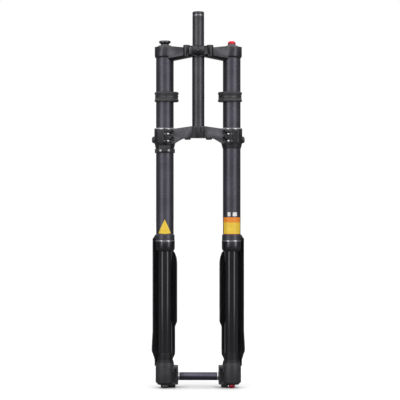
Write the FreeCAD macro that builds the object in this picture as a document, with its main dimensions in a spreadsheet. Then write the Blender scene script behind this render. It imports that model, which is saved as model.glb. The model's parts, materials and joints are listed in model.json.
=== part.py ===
import FreeCAD, Part
import os
import re
import Sketcher

# Inverted dual-crown bicycle fork, in millimetres.
#
# The origin is on the steerer's axis, on top of the lower crown, where the crown race of the headset rests.
# +Z runs up the steerer, +Y points forward and +X points to the rider's right.
# The air spring is in the rider's left leg (-X) and the damper in the right leg (+X).
# Every height below is a Z value of this frame, so pieces that meet share the same named value.

SIZES = {
    # Steerer and the frame's head tube
    "steerer_od": 28.6,
    "steerer_id": 22.2,
    "steerer_top": 281,
    "race_seat_od": 30,
    "steerer_press_od": 31,
    "steerer_line": 1,
    # Legs
    "leg_x": 82.5,
    "crown_offset": 30,
    "upper_tube_od": 43.5,
    "upper_tube_id": 39.2,
    "inner_tube_od": 36,
    "inner_tube_id": 32,
    "inner_tube_top": -120,
    "inner_tube_bottom": -602,
    "travel": 180,
    "running_gap": 0.05,
    "moving_gap": 0.3,
    # Top crown
    "top_crown_z": 170,
    "top_crown_height": 27,
    "top_clamp_od": 50,
    "top_arm_drop": 6,
    "top_arm_dip": 3.4,
    "top_arm_chamfer": 6,
    "steerer_clamp_od": 41,
    "steerer_boss_r": 12,
    "steerer_boss_y": -22,
    "post_spacing_x": 57.15,
    "post_spacing_y": 28.6,
    "post_y": -6,
    "post_od": 16.8,
    "post_rise": 2,
    "post_hole_od": 6,
    "post_hole_depth": 22,
    # Lower crown
    "lower_boss_height": 28,
    "lower_boss_od": 43,
    "lower_clamp_top": -4,
    "lower_clamp_bottom": -41,
    "lower_clamp_od": 52,
    "lower_skirt": 12,
    "bolt_from_top": 14.5,
    "bolt_from_bottom": 5.5,
    "arch_rise": 13,
    "arm_root_x": 17,
    "arm_rear": 16,
    "arm_front": 20,
    "fender_spacing": 52,
    "fender_boss_od": 15,
    "fender_boss_drop": 4.5,
    "fender_hole_od": 5,
    "fender_hole_depth": 12,
    "plug_od": 17,
    "plug_stem_od": 6,
    "plug_z": -31.5,
    "plug_height": 7.5,
    # Clamp bolts
    "clamp_block_w": 34,
    "clamp_block_depth": 9,
    "clamp_slit": 1.6,
    "bolt_od": 5,
    "bolt_head_od": 8.5,
    "bolt_head_h": 5,
    "bolt_socket": 4.6,
    "bolt_hole_gap": 0.15,
    "bolt_grip": 24,
    # Seal collar
    "lug_top": -265,
    "lug_od": 48,
    "ring_top": -279.5,
    "ring_height": 2,
    "collar_od": 49.2,
    "upper_tube_bottom": -291,
    "oil_seal_height": 6.5,
    "collar_bottom": -304.5,
    "collar_chamfer": 3.5,
    "wiper_lip": 2,
    "bushing_length": 28,
    # Frame bumpers
    "bumper_top": 86,
    "bumper_height": 24,
    "bumper_od": 59.5,
    "bumper_waist": 1.6,
    "bumper_shift": 4.3,
    "band_height": 6,
    "band_wall": 0.9,
    # Hose guide
    "guide_top": -46,
    "guide_height": 18,
    "guide_lap": 8,
    "guide_wall": 3,
    "guide_cover_w": 29,
    "guide_cover_depth": 6.5,
    "guide_cover_h": 16,
    "guide_screw_drop": 13,
    "hose_channel_od": 5.6,
    "guide_screw_x": 10.2,
    "guide_screw_od": 3,
    "guide_screw_head_od": 5.6,
    "guide_screw_head_h": 2.2,
    # Top caps, valve and knob
    "cap_flange_od": 37,
    "cap_height": 4.5,
    "cap_neck_od": 20,
    "cap_neck_h": 2.7,
    "cap_thread_depth": 17,
    "cap_spigot_depth": 12,
    "valve_od": 7.7,
    "valve_bore": 5,
    "valve_height": 5.5,
    "valve_pin_od": 1.6,
    "valve_pin_travel": 1.5,
    "valve_cap_od": 28.6,
    "valve_cap_height": 8.6,
    "knob_od": 20,
    "knob_top_od": 12.5,
    "knob_height": 7.8,
    "needle_od": 4,
    "needle_bottom": 70,
    # Air spring and damper
    "cartridge_od": 27,
    "cartridge_id": 24,
    "air_tube_bottom": -150,
    "seal_head_height": 15,
    "seal_head_spigot": 10,
    "air_shaft_od": 10,
    "piston_height": 14,
    "piston_ring_h": 3,
    "piston_ring_depth": 1.5,
    "bumper_ring_h": 13,
    "damper_tube_bottom": -230,
    "damper_rod_od": 12,
    "stem_od": 8,
    "base_valve_z": 60,
    "base_valve_h": 12,
    "floating_piston_z": 100,
    # Dropouts and axle
    "axle_forward": 18,
    "axle_z": -617,
    "axle_od": 20,
    "hub_width": 110,
    "hub_gap": 100,
    "hub_seat_od": 31,
    "axle_groove": 1,
    "axle_head_od": 26,
    "axle_head_h": 4,
    "axle_socket": 8,
    "lug_outer_x": 100,
    "lug_radius": 17.5,
    "dropout_top": -574,
    "dropout_shoulder": -589,
    "dropout_od": 46,
    "dropout_bottom": -635,
    "dropout_chamfer": 6,
    "neck_top": -556,
    "neck_wall": 1.1,
    "pinch_pad_x": 65,
    "pinch_pad_w": 17,
    "pinch_pad_drop": 8,
    "foot_bolt_od": 8,
    "foot_cap_od": 20,
    "foot_cap_height": 8,
    "foot_nut_od": 20,
    "foot_nut_height": 7,
    "rebound_knob_od": 15.5,
    # Guards
    "guard_outer_top": -264.5,
    "guard_inner_top": -305,
    "guard_od": 62,
    "guard_wall": 2.5,
    "guard_step_z": -481,
    "guard_step_x": 25.5,
    "guard_flare_z": -548,
    "guard_flare": 2.2,
    "guard_angle": 196,
    "guard_foot_gap": 0.4,
    "guard_screw_od": 4,
    "guard_screw_head_od": 8,
    "guard_screw_head_h": 2.2,
}

SIDES = {"left": -1, "right": 1}
ALONG_X = FreeCAD.Rotation(FreeCAD.Vector(0, 1, 0), 90)
ALONG_MINUS_X = FreeCAD.Rotation(FreeCAD.Vector(0, 1, 0), -90)
ALONG_Y = FreeCAD.Rotation(FreeCAD.Vector(1, 0, 0), -90)
ALONG_MINUS_Y = FreeCAD.Rotation(FreeCAD.Vector(1, 0, 0), 90)
UPRIGHT = FreeCAD.Rotation()

doc = FreeCAD.newDocument("suspension_fork")
sheet = doc.addObject("Spreadsheet::Sheet", "Sizes")
for row, (alias, size) in enumerate(SIZES.items(), start=1):
    sheet.set(f"A{row}", alias)
    sheet.set(f"B{row}", str(size))
    sheet.setAlias(f"B{row}", alias)
doc.recompute()

nodes = []


# Helpers ------------------------------------------------------------------------------------------------------


def bound(text):
    """An expression written with the sizes' names, in the form that FreeCAD reads from the sheet."""
    return re.sub(r"[a-z][a-z0-9_]*", lambda w: ("Sizes." if w.group() in SIZES else "") + w.group(), str(text))


def place(item, x, y, z, turn):
    """Puts an object at a place bound to the sheet."""
    item.Placement = FreeCAD.Placement(FreeCAD.Vector(), turn)
    for axis, text in zip("xyz", (x, y, z)):
        item.setExpression(f"Placement.Base.{axis}", bound(text))


def new_body(label, x="0", y="0", z="0", turn=UPRIGHT):
    """A PartDesign body that becomes the node of the same name."""
    body = doc.addObject("PartDesign::Body", label)
    body.Label = label
    place(body, x, y, z, turn)
    nodes.append(body)
    return body


def sketch_on(body, plane, offset="0"):
    """A sketch on one of the body's own planes, moved along the plane's normal."""
    sketch = body.newObject("Sketcher::SketchObject", f"{body.Label}_sketch")
    support = [feature for feature in body.Origin.OriginFeatures if feature.Role == plane][0]
    sketch.AttachmentSupport = [(support, "")]
    sketch.MapMode = "FlatFace"
    sketch.setExpression("AttachmentOffset.Base.z", bound(offset))
    return sketch


def draw_outline(sketch, points):
    """A closed outline of straight edges through points given as pairs of expressions."""
    first = sketch.GeometryCount
    count = len(points)
    spots = [FreeCAD.Vector(10 * i, i * i, 0) for i in range(count)]
    for i in range(count):
        sketch.addGeometry(Part.LineSegment(spots[i], spots[(i + 1) % count]))
    for i in range(count):
        sketch.addConstraint(Sketcher.Constraint("Coincident", first + i, 2, first + (i + 1) % count, 1))
    for i, point in enumerate(points):
        for kind, text, start in zip(("DistanceX", "DistanceY"), point, spots[i]):
            index = sketch.addConstraint(Sketcher.Constraint(kind, -1, 1, first + i, 1, start))
            sketch.setExpression(f"Constraints[{index}]", bound(text))


def draw_circle(sketch, x, y, radius):
    """A circle whose centre and radius are bound to the sheet."""
    circle = sketch.addGeometry(Part.Circle(FreeCAD.Vector(1, 1, 0), FreeCAD.Vector(0, 0, 1), 1))
    for kind, text in (("DistanceX", x), ("DistanceY", y)):
        index = sketch.addConstraint(Sketcher.Constraint(kind, -1, 1, circle, 3, 1.0))
        sketch.setExpression(f"Constraints[{index}]", bound(text))
    index = sketch.addConstraint(Sketcher.Constraint("Radius", circle, 1.0))
    sketch.setExpression(f"Constraints[{index}]", bound(radius))


def extrude(body, kind, sketch, length=None, both=False):
    """A Pad or a Pocket of a sketch. With no length it goes through everything."""
    feature = body.newObject(f"PartDesign::{kind}", f"{body.Label}_{kind.lower()}")
    feature.Profile = sketch
    if length is None:
        feature.Type = "ThroughAll"
    else:
        feature.setExpression("Length", bound(length))
    feature.Midplane = both
    return feature


def revolve(body, sketch, angle="360"):
    """A Revolution of a sketch about its upright axis, half of the angle to each side."""
    feature = body.newObject("PartDesign::Revolution", f"{body.Label}_revolution")
    feature.Profile = sketch
    feature.ReferenceAxis = (sketch, ["V_Axis"])
    feature.Midplane = True
    feature.setExpression("Angle", bound(angle))
    return feature


def turned(label, points, x="0", y="0", z="0", turn=UPRIGHT):
    """A piece made on a lathe: an outline of (radius, height) points, turned about the body's Z axis."""
    body = new_body(label, x, y, z, turn)
    sketch = sketch_on(body, "XZ_Plane")
    draw_outline(sketch, points)
    revolve(body, sketch)
    return body


def tube_outline(inner, outer, bottom, top):
    """The section of a plain tube between two heights."""
    return [(inner, bottom), (outer, bottom), (outer, top), (inner, top)]


def primitive(body, kind, x, y, z, turn=UPRIGHT, **sizes):
    """A PartDesign primitive that adds to or cuts from the body, such as AdditiveBox or SubtractiveCylinder."""
    item = body.newObject(f"PartDesign::{kind}", f"{body.Label}_{kind.lower()}")
    place(item, x, y, z, turn)
    for name, text in sizes.items():
        item.setExpression(name, bound(text))
    return item


def drill(body, x, y, z, radius, depth, turn=UPRIGHT):
    """A round hole from a point, along the turned Z axis."""
    return primitive(body, "SubtractiveCylinder", x, y, z, turn, Radius=radius, Height=depth)


def cut_box(body, x, y, z, length, width, height):
    """A box-shaped cut from its lowest corner."""
    return primitive(body, "SubtractiveBox", x, y, z, Length=length, Width=width, Height=height)


def add_box(body, x, y, z, length, width, height):
    """A box-shaped block from its lowest corner."""
    return primitive(body, "AdditiveBox", x, y, z, Length=length, Width=width, Height=height)


def add_disc(body, x, y, z, radius, height, turn=UPRIGHT):
    """A round block from a point, along the turned Z axis."""
    return primitive(body, "AdditiveCylinder", x, y, z, turn, Radius=radius, Height=height)


def round_edges(body, radius, chosen):
    """A fillet on the edges of the body's tip that a test chooses."""
    doc.recompute()
    base = body.Tip
    names = [f"Edge{i}" for i, edge in enumerate(base.Shape.Edges, start=1) if chosen(edge)]
    fillet = body.newObject("PartDesign::Fillet", f"{body.Label}_fillet")
    fillet.Base = (base, names)
    fillet.setExpression("Radius", bound(radius))
    return fillet


def chamfer_edges(body, size, chosen):
    """A chamfer on the edges of the body's tip that a test chooses."""
    doc.recompute()
    base = body.Tip
    names = [f"Edge{i}" for i, edge in enumerate(base.Shape.Edges, start=1) if chosen(edge)]
    chamfer = body.newObject("PartDesign::Chamfer", f"{body.Label}_chamfer")
    chamfer.Base = (base, names)
    chamfer.setExpression("Size", bound(size))
    return chamfer


def one_node(label, pieces):
    """Identical small pieces that share one node, each still a solid of its own."""
    group = doc.addObject("Part::Compound", label)
    group.Label = label
    group.Links = pieces
    for piece in pieces:
        if piece in nodes:
            nodes.remove(piece)
    nodes.append(group)
    return group


def part_cylinder(name, x, y, z, turn, radius, height):
    """A Part cylinder with its sizes and place bound to the sheet."""
    item = doc.addObject("Part::Cylinder", name)
    place(item, x, y, z, turn)
    item.setExpression("Radius", bound(radius))
    item.setExpression("Height", bound(height))
    return item


def socket_bolts(label, seats, shank_od, shank_length, head_od, head_height, socket):
    """A group of socket bolts. A seat is where a head's underside rests and which way the head points."""
    bolts = []
    for i, (x, y, z, turn) in enumerate(seats, start=1):
        back = turn.multiply(FreeCAD.Rotation(FreeCAD.Vector(1, 0, 0), 180))
        head = part_cylinder(f"{label}_head_{i}", x, y, z, turn, f"{head_od} / 2", head_height)
        shank = part_cylinder(f"{label}_shank_{i}", x, y, z, back, f"{shank_od} / 2", shank_length)
        whole = doc.addObject("Part::Fuse", f"{label}_whole_{i}")
        whole.Base = head
        whole.Tool = shank
        # The hexagon socket is as deep as half of the head.
        key = doc.addObject("Part::Prism", f"{label}_key_{i}")
        key.Polygon = 6
        out = turn.multVec(FreeCAD.Vector(0, 0, 1))
        lifts = [f"{round(part)} * ({head_height}) / 2" for part in out]
        place(key, f"{x} + {lifts[0]}", f"{y} + {lifts[1]}", f"{z} + {lifts[2]}", turn)
        key.setExpression("Circumradius", bound(f"{socket} / 2"))
        key.setExpression("Height", bound(head_height))
        bolt = doc.addObject("Part::Cut", f"{label}_bolt_{i}")
        bolt.Base = whole
        bolt.Tool = key
        bolts.append(bolt)
    return one_node(label, bolts)


# Steerer ------------------------------------------------------------------------------------------------------

turned(
    "steerer_tube",
    [
        ("steerer_id / 2", "-lower_boss_height"),
        ("steerer_press_od / 2", "-lower_boss_height"),
        ("steerer_press_od / 2", "0"),
        ("race_seat_od / 2", "0"),
        ("race_seat_od / 2", "top_crown_z - 2"),
        ("steerer_od / 2", "top_crown_z - 1"),
        ("steerer_od / 2", "top_crown_z + top_crown_height + 1"),
        ("steerer_od / 2 - 0.3", "top_crown_z + top_crown_height + 1"),
        ("steerer_od / 2 - 0.3", "top_crown_z + top_crown_height + 1 + steerer_line"),
        ("steerer_od / 2", "top_crown_z + top_crown_height + 1 + steerer_line"),
        ("steerer_od / 2", "steerer_top - 10"),
        ("steerer_od / 2 - 0.5", "steerer_top - 9.5"),
        ("steerer_od / 2 - 0.5", "steerer_top - 9"),
        ("steerer_od / 2", "steerer_top - 8.5"),
        ("steerer_od / 2", "steerer_top - 2"),
        ("steerer_od / 2 - 1.6", "steerer_top"),
        ("steerer_id / 2", "steerer_top"),
    ],
)


# Lower crown --------------------------------------------------------------------------------------------------


def arm_plan(sketch, root_x, rear, front):
    """Both arms in plan: they sweep forward from the steerer to the legs."""
    draw_outline(
        sketch,
        [
            ("-leg_x", f"crown_offset - {rear}"),
            (f"-({root_x})", f"-({rear})"),
            (root_x, f"-({rear})"),
            ("leg_x", f"crown_offset - {rear}"),
            ("leg_x", f"crown_offset + {front}"),
            (root_x, front),
            (f"-({root_x})", front),
            ("-leg_x", f"crown_offset + {front}"),
        ],
    )


lower_crown = new_body("lower_crown")
plan = sketch_on(lower_crown, "XY_Plane", "lower_clamp_bottom")
arm_plan(plan, "arm_root_x", "arm_rear", "arm_front")
extrude(lower_crown, "Pad", plan, "-lower_clamp_bottom")
arch = sketch_on(lower_crown, "XZ_Plane")
draw_outline(
    arch,
    [
        ("-leg_x - 1", "lower_clamp_bottom - 1"),
        ("-leg_x - 1", "lower_clamp_bottom"),
        ("-leg_x + lower_clamp_od / 2 - 3", "lower_clamp_bottom"),
        ("-fender_spacing / 2 - 13", "lower_clamp_bottom + arch_rise - 1.5"),
        ("-fender_spacing / 2 - 5", "-lower_boss_height"),
        ("fender_spacing / 2 + 5", "-lower_boss_height"),
        ("fender_spacing / 2 + 13", "lower_clamp_bottom + arch_rise - 1.5"),
        ("leg_x - lower_clamp_od / 2 + 3", "lower_clamp_bottom"),
        ("leg_x + 1", "lower_clamp_bottom"),
        ("leg_x + 1", "lower_clamp_bottom - 1"),
    ],
)
for side in SIDES.values():
    draw_outline(
        arch,
        [
            (f"{side} * (arm_root_x)", "0"),
            (f"{side} * (leg_x + 1)", "2 * lower_clamp_top"),
            (f"{side} * (leg_x + 1)", "1"),
            (f"{side} * (arm_root_x)", "1"),
        ],
    )
extrude(lower_crown, "Pocket", arch, both=True)
add_disc(lower_crown, "0", "0", "-lower_boss_height", "lower_boss_od / 2", "lower_boss_height")
for side in SIDES.values():
    leg = f"{side} * leg_x"
    add_disc(
        lower_crown, leg, "crown_offset", "lower_clamp_bottom", "lower_clamp_od / 2",
        "lower_clamp_top - lower_clamp_bottom",
    )
    primitive(
        lower_crown, "AdditiveCone", leg, "crown_offset", "lower_clamp_bottom - lower_skirt",
        Radius1="upper_tube_od / 2 + 1", Radius2="lower_clamp_od / 2 - 0.5", Height="lower_skirt",
    )
    add_box(
        lower_crown, f"{leg} - clamp_block_w / 2",
        "crown_offset - lower_clamp_od / 2 - clamp_block_depth + 1", "lower_clamp_bottom + 1",
        "clamp_block_w", "clamp_block_depth + 8", "lower_clamp_top - lower_clamp_bottom - 5",
    )
    add_disc(
        lower_crown, f"{side} * fender_spacing / 2", "0", "-lower_boss_height - fender_boss_drop",
        "fender_boss_od / 2", "fender_boss_drop + 10",
    )
round_edges(
    lower_crown, "1.6",
    lambda edge: abs(edge.CenterOfMass.x) > SIZES["leg_x"] - SIZES["clamp_block_w"] / 2 - 0.1
    and edge.CenterOfMass.y < SIZES["crown_offset"] - SIZES["lower_clamp_od"] / 2 - SIZES["clamp_block_depth"] + 1.1
    or edge.CenterOfMass.z < -SIZES["lower_boss_height"] - SIZES["fender_boss_drop"] + 0.1
    and abs(edge.CenterOfMass.x) < SIZES["fender_spacing"] / 2 + 4,
)
drill(lower_crown, "0", "0", "-lower_boss_height - 1", "steerer_press_od / 2", "lower_boss_height + 2")
for side in SIDES.values():
    leg = f"{side} * leg_x"
    drill(
        lower_crown, leg, "crown_offset", "lower_clamp_bottom - lower_skirt - 1", "upper_tube_od / 2",
        "lower_skirt + 2 - lower_clamp_bottom",
    )
    # The clamp's slit and the two bolt holes across it, with a pocket for the heads on the inner side.
    cut_box(
        lower_crown, f"{leg} - clamp_slit / 2", "crown_offset - lower_clamp_od / 2 - clamp_block_depth - 1",
        "lower_clamp_bottom - lower_skirt - 1", "clamp_slit", "clamp_block_depth + 12",
        "lower_skirt + 2 - lower_clamp_bottom",
    )
    for height in ("lower_clamp_top - bolt_from_top", "lower_clamp_bottom + bolt_from_bottom"):
        drill(
            lower_crown, f"{leg} + {side} * (clamp_block_w / 2 + 1)",
            "crown_offset - lower_clamp_od / 2 - clamp_block_depth / 2 + 1.5", height,
            "bolt_od / 2 + bolt_hole_gap", "clamp_block_w + 2", ALONG_MINUS_X if side > 0 else ALONG_X,
        )
        drill(
            lower_crown, f"{leg} - {side} * 6",
            "crown_offset - lower_clamp_od / 2 - clamp_block_depth / 2 + 1.5", height,
            "bolt_head_od / 2 + 0.6", "clamp_block_w / 2", ALONG_MINUS_X if side > 0 else ALONG_X,
        )
        # The pocket is open to the rear, so that a key reaches the head.
        pocket_start = "leg_x - 6 - clamp_block_w / 2" if side > 0 else "6 - leg_x"
        cut_box(
            lower_crown, pocket_start, "crown_offset - lower_clamp_od / 2 - clamp_block_depth",
            f"{height} - bolt_head_od / 2 - 0.6", "clamp_block_w / 2", "clamp_block_depth / 2 + 1.5",
            "bolt_head_od + 1.2",
        )
    # Accessory hole from below, and the spot face and hole of the side plug.
    drill(
        lower_crown, f"{side} * fender_spacing / 2", "0", "-lower_boss_height - fender_boss_drop",
        "fender_hole_od / 2", "fender_hole_depth",
    )
    outward = ALONG_X if side > 0 else ALONG_MINUS_X
    drill(
        lower_crown, f"{leg} + {side} * (lower_clamp_od / 2 - 1.5)", "crown_offset", "plug_z",
        "plug_od / 2 + 0.2", "8", outward,
    )
    drill(
        lower_crown, f"{leg} + {side} * (upper_tube_od / 2 - 2)", "crown_offset", "plug_z",
        "plug_stem_od / 2", "8", outward,
    )
    # Flutes beside the rib at the back of the steerer boss.
    drill(lower_crown, f"{side} * 8", "-lower_boss_od / 2", "-lower_boss_height - 1", "3.2", "lower_boss_height - 2")

plugs = [
    turned(
        f"{name}_crown_plug",
        [
            ("0", "-1.5 - lower_clamp_od / 2 + upper_tube_od / 2 + 3.2"),
            ("plug_stem_od / 2", "-1.5 - lower_clamp_od / 2 + upper_tube_od / 2 + 3.2"),
            ("plug_stem_od / 2", "0"),
            ("plug_od / 2", "0"),
            ("plug_od / 2", "plug_height * 0.45"),
            ("plug_od / 2 - 1.2", "plug_height * 0.75"),
            ("plug_od / 2 - 3.5", "plug_height"),
            ("0", "plug_height"),
        ],
        f"{side} * (leg_x + lower_clamp_od / 2 - 1.5)", "crown_offset", "plug_z",
        ALONG_X if side > 0 else ALONG_MINUS_X,
    )
    for name, side in SIDES.items()
]
one_node("crown_side_plugs", plugs)

REAR_BOLT_Y = "crown_offset - lower_clamp_od / 2 - clamp_block_depth / 2 + 1.5"
socket_bolts(
    "lower_crown_bolts",
    [
        (f"{side} * (leg_x - 6)", REAR_BOLT_Y, height, ALONG_MINUS_X if side > 0 else ALONG_X)
        for side in SIDES.values()
        for height in ("lower_clamp_top - bolt_from_top", "lower_clamp_bottom + bolt_from_bottom")
    ],
    "bolt_od", "clamp_block_w / 2 + 4", "bolt_head_od", "bolt_head_h", "bolt_socket",
)


# Top crown ----------------------------------------------------------------------------------------------------

top_crown = new_body("top_crown")
plan = sketch_on(top_crown, "XY_Plane", "top_crown_z - top_arm_drop")
arm_plan(plan, "arm_root_x", "arm_rear - 2", "arm_front")
extrude(top_crown, "Pad", plan, "top_crown_height + top_arm_drop")
section = sketch_on(top_crown, "XZ_Plane")
draw_outline(
    section,
    [
        ("-leg_x + top_clamp_od / 2 - 3", "top_crown_z - top_arm_drop"),
        ("-arm_root_x", "top_crown_z + 0.8"),
        ("arm_root_x", "top_crown_z + 0.8"),
        ("leg_x - top_clamp_od / 2 + 3", "top_crown_z - top_arm_drop"),
        ("leg_x - top_clamp_od / 2 + 3", "top_crown_z - top_arm_drop - 1"),
        ("-leg_x + top_clamp_od / 2 - 3", "top_crown_z - top_arm_drop - 1"),
    ],
)
for side in SIDES.values():
    draw_outline(
        section,
        [
            (f"{side} * (leg_x - top_clamp_od / 2 + 5)", "top_crown_z + top_crown_height"),
            (f"{side} * (post_spacing_x / 2 + post_od / 2)", "top_crown_z + top_crown_height - top_arm_dip"),
            (f"{side} * (arm_root_x)", "top_crown_z + top_crown_height - top_arm_dip"),
            (f"{side} * (arm_root_x)", "top_crown_z + top_crown_height + 1"),
            (f"{side} * (leg_x - top_clamp_od / 2 + 5)", "top_crown_z + top_crown_height + 1"),
        ],
    )
extrude(top_crown, "Pocket", section, both=True)
# The arms are cut away below, on the rider's side, to save weight.
chamfer_edges(
    top_crown, "top_arm_chamfer",
    lambda edge: edge.Length > 20
    and SIZES["arm_root_x"] + 3 < abs(edge.CenterOfMass.x) < SIZES["leg_x"] - 15
    and edge.CenterOfMass.z < SIZES["top_crown_z"] + 5
    and edge.CenterOfMass.y < SIZES["crown_offset"] / 2,
)
add_disc(top_crown, "0", "0", "top_crown_z + 1", "steerer_clamp_od / 2", "top_crown_height - 1")
# The rounded boss behind the steerer that its pinch bolt crosses.
add_disc(
    top_crown, "-arm_root_x + 3", "steerer_boss_y", "top_crown_z + top_crown_height / 2 + 1", "steerer_boss_r",
    "2 * arm_root_x - 6", ALONG_X,
)
for side in SIDES.values():
    leg = f"{side} * leg_x"
    add_disc(top_crown, leg, "crown_offset", "top_crown_z + 4", "top_clamp_od / 2", "top_crown_height - 4")
    primitive(
        top_crown, "AdditiveCone", leg, "crown_offset", "top_crown_z", Radius1="top_clamp_od / 2 - 2.4",
        Radius2="top_clamp_od / 2", Height="4",
    )
    add_box(
        top_crown, f"{leg} - clamp_block_w / 2 + 2", "crown_offset + top_clamp_od / 2 - 8", "top_crown_z + 3",
        "clamp_block_w - 4", "clamp_block_depth + 7", "top_crown_height - 6",
    )
    for y in ("post_y", "post_y + post_spacing_y"):
        add_disc(
            top_crown, f"{side} * post_spacing_x / 2", y, "top_crown_z + 1", "post_od / 2",
            "top_crown_height + post_rise - 1",
        )
round_edges(
    top_crown, "1.6",
    lambda edge: edge.CenterOfMass.y > SIZES["crown_offset"] + SIZES["top_clamp_od"] / 2 + 5
    or edge.CenterOfMass.z > SIZES["top_crown_z"] + SIZES["top_crown_height"] + SIZES["post_rise"] - 0.1,
)
drill(top_crown, "0", "0", "top_crown_z - 2", "steerer_od / 2", "top_crown_height + 4")
cut_box(
    top_crown, "-clamp_slit / 2", "steerer_boss_y - steerer_boss_r - 1", "top_crown_z - 1", "clamp_slit",
    "steerer_boss_r - steerer_boss_y", "top_crown_height + 4",
)
STEERER_BOLT_Z = "top_crown_z + top_crown_height / 2 + 1"
drill(
    top_crown, "-arm_root_x", "steerer_boss_y - 4", STEERER_BOLT_Z, "bolt_od / 2 + bolt_hole_gap",
    "2 * arm_root_x", ALONG_X,
)
drill(
    top_crown, "arm_root_x - 3 - bolt_head_h", "steerer_boss_y - 4", STEERER_BOLT_Z, "bolt_head_od / 2 + 0.6", "12",
    ALONG_X,
)
FRONT_BOLT_Y = "crown_offset + top_clamp_od / 2 + clamp_block_depth / 2 - 1.5"
for side in SIDES.values():
    leg = f"{side} * leg_x"
    inward = ALONG_MINUS_X if side > 0 else ALONG_X
    drill(
        top_crown, leg, "crown_offset", "top_crown_z - top_arm_drop - 1", "upper_tube_od / 2",
        "top_crown_height + top_arm_drop + 2",
    )
    cut_box(
        top_crown, f"{leg} - clamp_slit / 2", "crown_offset + top_clamp_od / 2 - 9", "top_crown_z - 8",
        "clamp_slit", "clamp_block_depth + 10", "top_crown_height + 10",
    )
    drill(
        top_crown, f"{leg} + {side} * (clamp_block_w / 2 + 1)", FRONT_BOLT_Y, "top_crown_z + top_crown_height / 2",
        "bolt_od / 2 + bolt_hole_gap", "clamp_block_w + 2", inward,
    )
    drill(
        top_crown, f"{leg} - {side} * 8", FRONT_BOLT_Y, "top_crown_z + top_crown_height / 2",
        "bolt_head_od / 2 + 0.6", "clamp_block_w / 2", inward,
    )
    for y in ("post_y", "post_y + post_spacing_y"):
        drill(
            top_crown, f"{side} * post_spacing_x / 2", y,
            "top_crown_z + top_crown_height + post_rise - post_hole_depth", "post_hole_od / 2",
            "post_hole_depth + 1",
        )

socket_bolts(
    "top_crown_bolts",
    [("arm_root_x - 3 - bolt_head_h", "steerer_boss_y - 4", STEERER_BOLT_Z, ALONG_X)]
    + [
        (
            f"{side} * (leg_x - 8)", FRONT_BOLT_Y, "top_crown_z + top_crown_height / 2",
            ALONG_MINUS_X if side > 0 else ALONG_X,
        )
        for side in SIDES.values()
    ],
    "bolt_od", "bolt_grip - 4", "bolt_head_od", "bolt_head_h", "bolt_socket",
)


# Upper tubes, bumpers and seals -------------------------------------------------------------------------------

bands = []
for name, side in SIDES.items():
    at = (f"{side} * leg_x", "crown_offset")
    turned(
        f"{name}_upper_tube",
        [
            ("upper_tube_id / 2", "upper_tube_bottom"),
            ("upper_tube_od / 2", "upper_tube_bottom"),
            ("upper_tube_od / 2", "ring_top"),
            ("lug_od / 2", "ring_top"),
            ("lug_od / 2", "lug_top - 1.2"),
            ("lug_od / 2 - 1.2", "lug_top"),
            ("upper_tube_od / 2", "lug_top"),
            ("upper_tube_od / 2", "top_crown_z + top_crown_height"),
            ("upper_tube_id / 2", "top_crown_z + top_crown_height"),
        ],
        *at,
    )
    turned(
        f"{name}_trim_ring",
        tube_outline("upper_tube_od / 2", "collar_od / 2", "ring_top - ring_height", "ring_top"),
        *at,
    )
    turned(
        f"{name}_seal_collar",
        [
            ("upper_tube_od / 2", "collar_bottom"),
            ("collar_od / 2 - collar_chamfer / 2", "collar_bottom"),
            ("collar_od / 2", "collar_bottom + collar_chamfer + 1.5"),
            ("collar_od / 2", "ring_top - ring_height"),
            ("upper_tube_od / 2", "ring_top - ring_height"),
        ],
        *at,
    )
    turned(
        f"{name}_oil_seal",
        tube_outline(
            "inner_tube_od / 2 + running_gap", "upper_tube_od / 2", "upper_tube_bottom - oil_seal_height",
            "upper_tube_bottom",
        ),
        *at,
    )
    turned(
        f"{name}_dust_wiper",
        [
            ("inner_tube_od / 2 + running_gap", "collar_bottom - wiper_lip"),
            ("inner_tube_od / 2 + 1.2", "collar_bottom - wiper_lip"),
            ("upper_tube_od / 2 - 0.6", "collar_bottom - 0.4"),
            ("upper_tube_od / 2", "collar_bottom"),
            ("upper_tube_od / 2", "upper_tube_bottom - oil_seal_height"),
            ("inner_tube_od / 2 + running_gap", "upper_tube_bottom - oil_seal_height"),
        ],
        *at,
    )
    turned(
        f"{name}_lower_bushing",
        tube_outline(
            "inner_tube_od / 2 + running_gap", "upper_tube_id / 2", "upper_tube_bottom",
            "upper_tube_bottom + bushing_length",
        ),
        *at,
    )
    # The bumper ring stands further inward than outward, so its bore is off its own axis.
    bumper = turned(
        f"{name}_frame_bumper",
        [
            ("0", "bumper_top - bumper_height"),
            ("bumper_od / 2 - 1", "bumper_top - bumper_height"),
            ("bumper_od / 2", "bumper_top - bumper_height + 1.5"),
            ("bumper_od / 2", "bumper_top - bumper_height + 4.5"),
            ("bumper_od / 2 - bumper_waist", "bumper_top - bumper_height + 7.5"),
            ("bumper_od / 2 - bumper_waist", "bumper_top - 7.5"),
            ("bumper_od / 2", "bumper_top - 4.5"),
            ("bumper_od / 2", "bumper_top - 1.5"),
            ("bumper_od / 2 - 1", "bumper_top"),
            ("0", "bumper_top"),
        ],
        f"{side} * (leg_x - bumper_shift)", "crown_offset",
    )
    drill(
        bumper, f"{side} * bumper_shift", "0", "bumper_top - bumper_height - 1", "upper_tube_od / 2",
        "bumper_height + 2",
    )
    band = turned(
        f"{name}_bumper_band",
        tube_outline(
            "bumper_od / 2 - bumper_waist", "bumper_od / 2 - bumper_waist + band_wall",
            "bumper_top - bumper_height / 2 - band_height / 2", "bumper_top - bumper_height / 2 + band_height / 2",
        ),
        f"{side} * (leg_x - bumper_shift)", "crown_offset",
    )
    bands.append(band)
one_node("bumper_bands", bands)


# Brake hose guide on the left upper tube ----------------------------------------------------------------------

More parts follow.
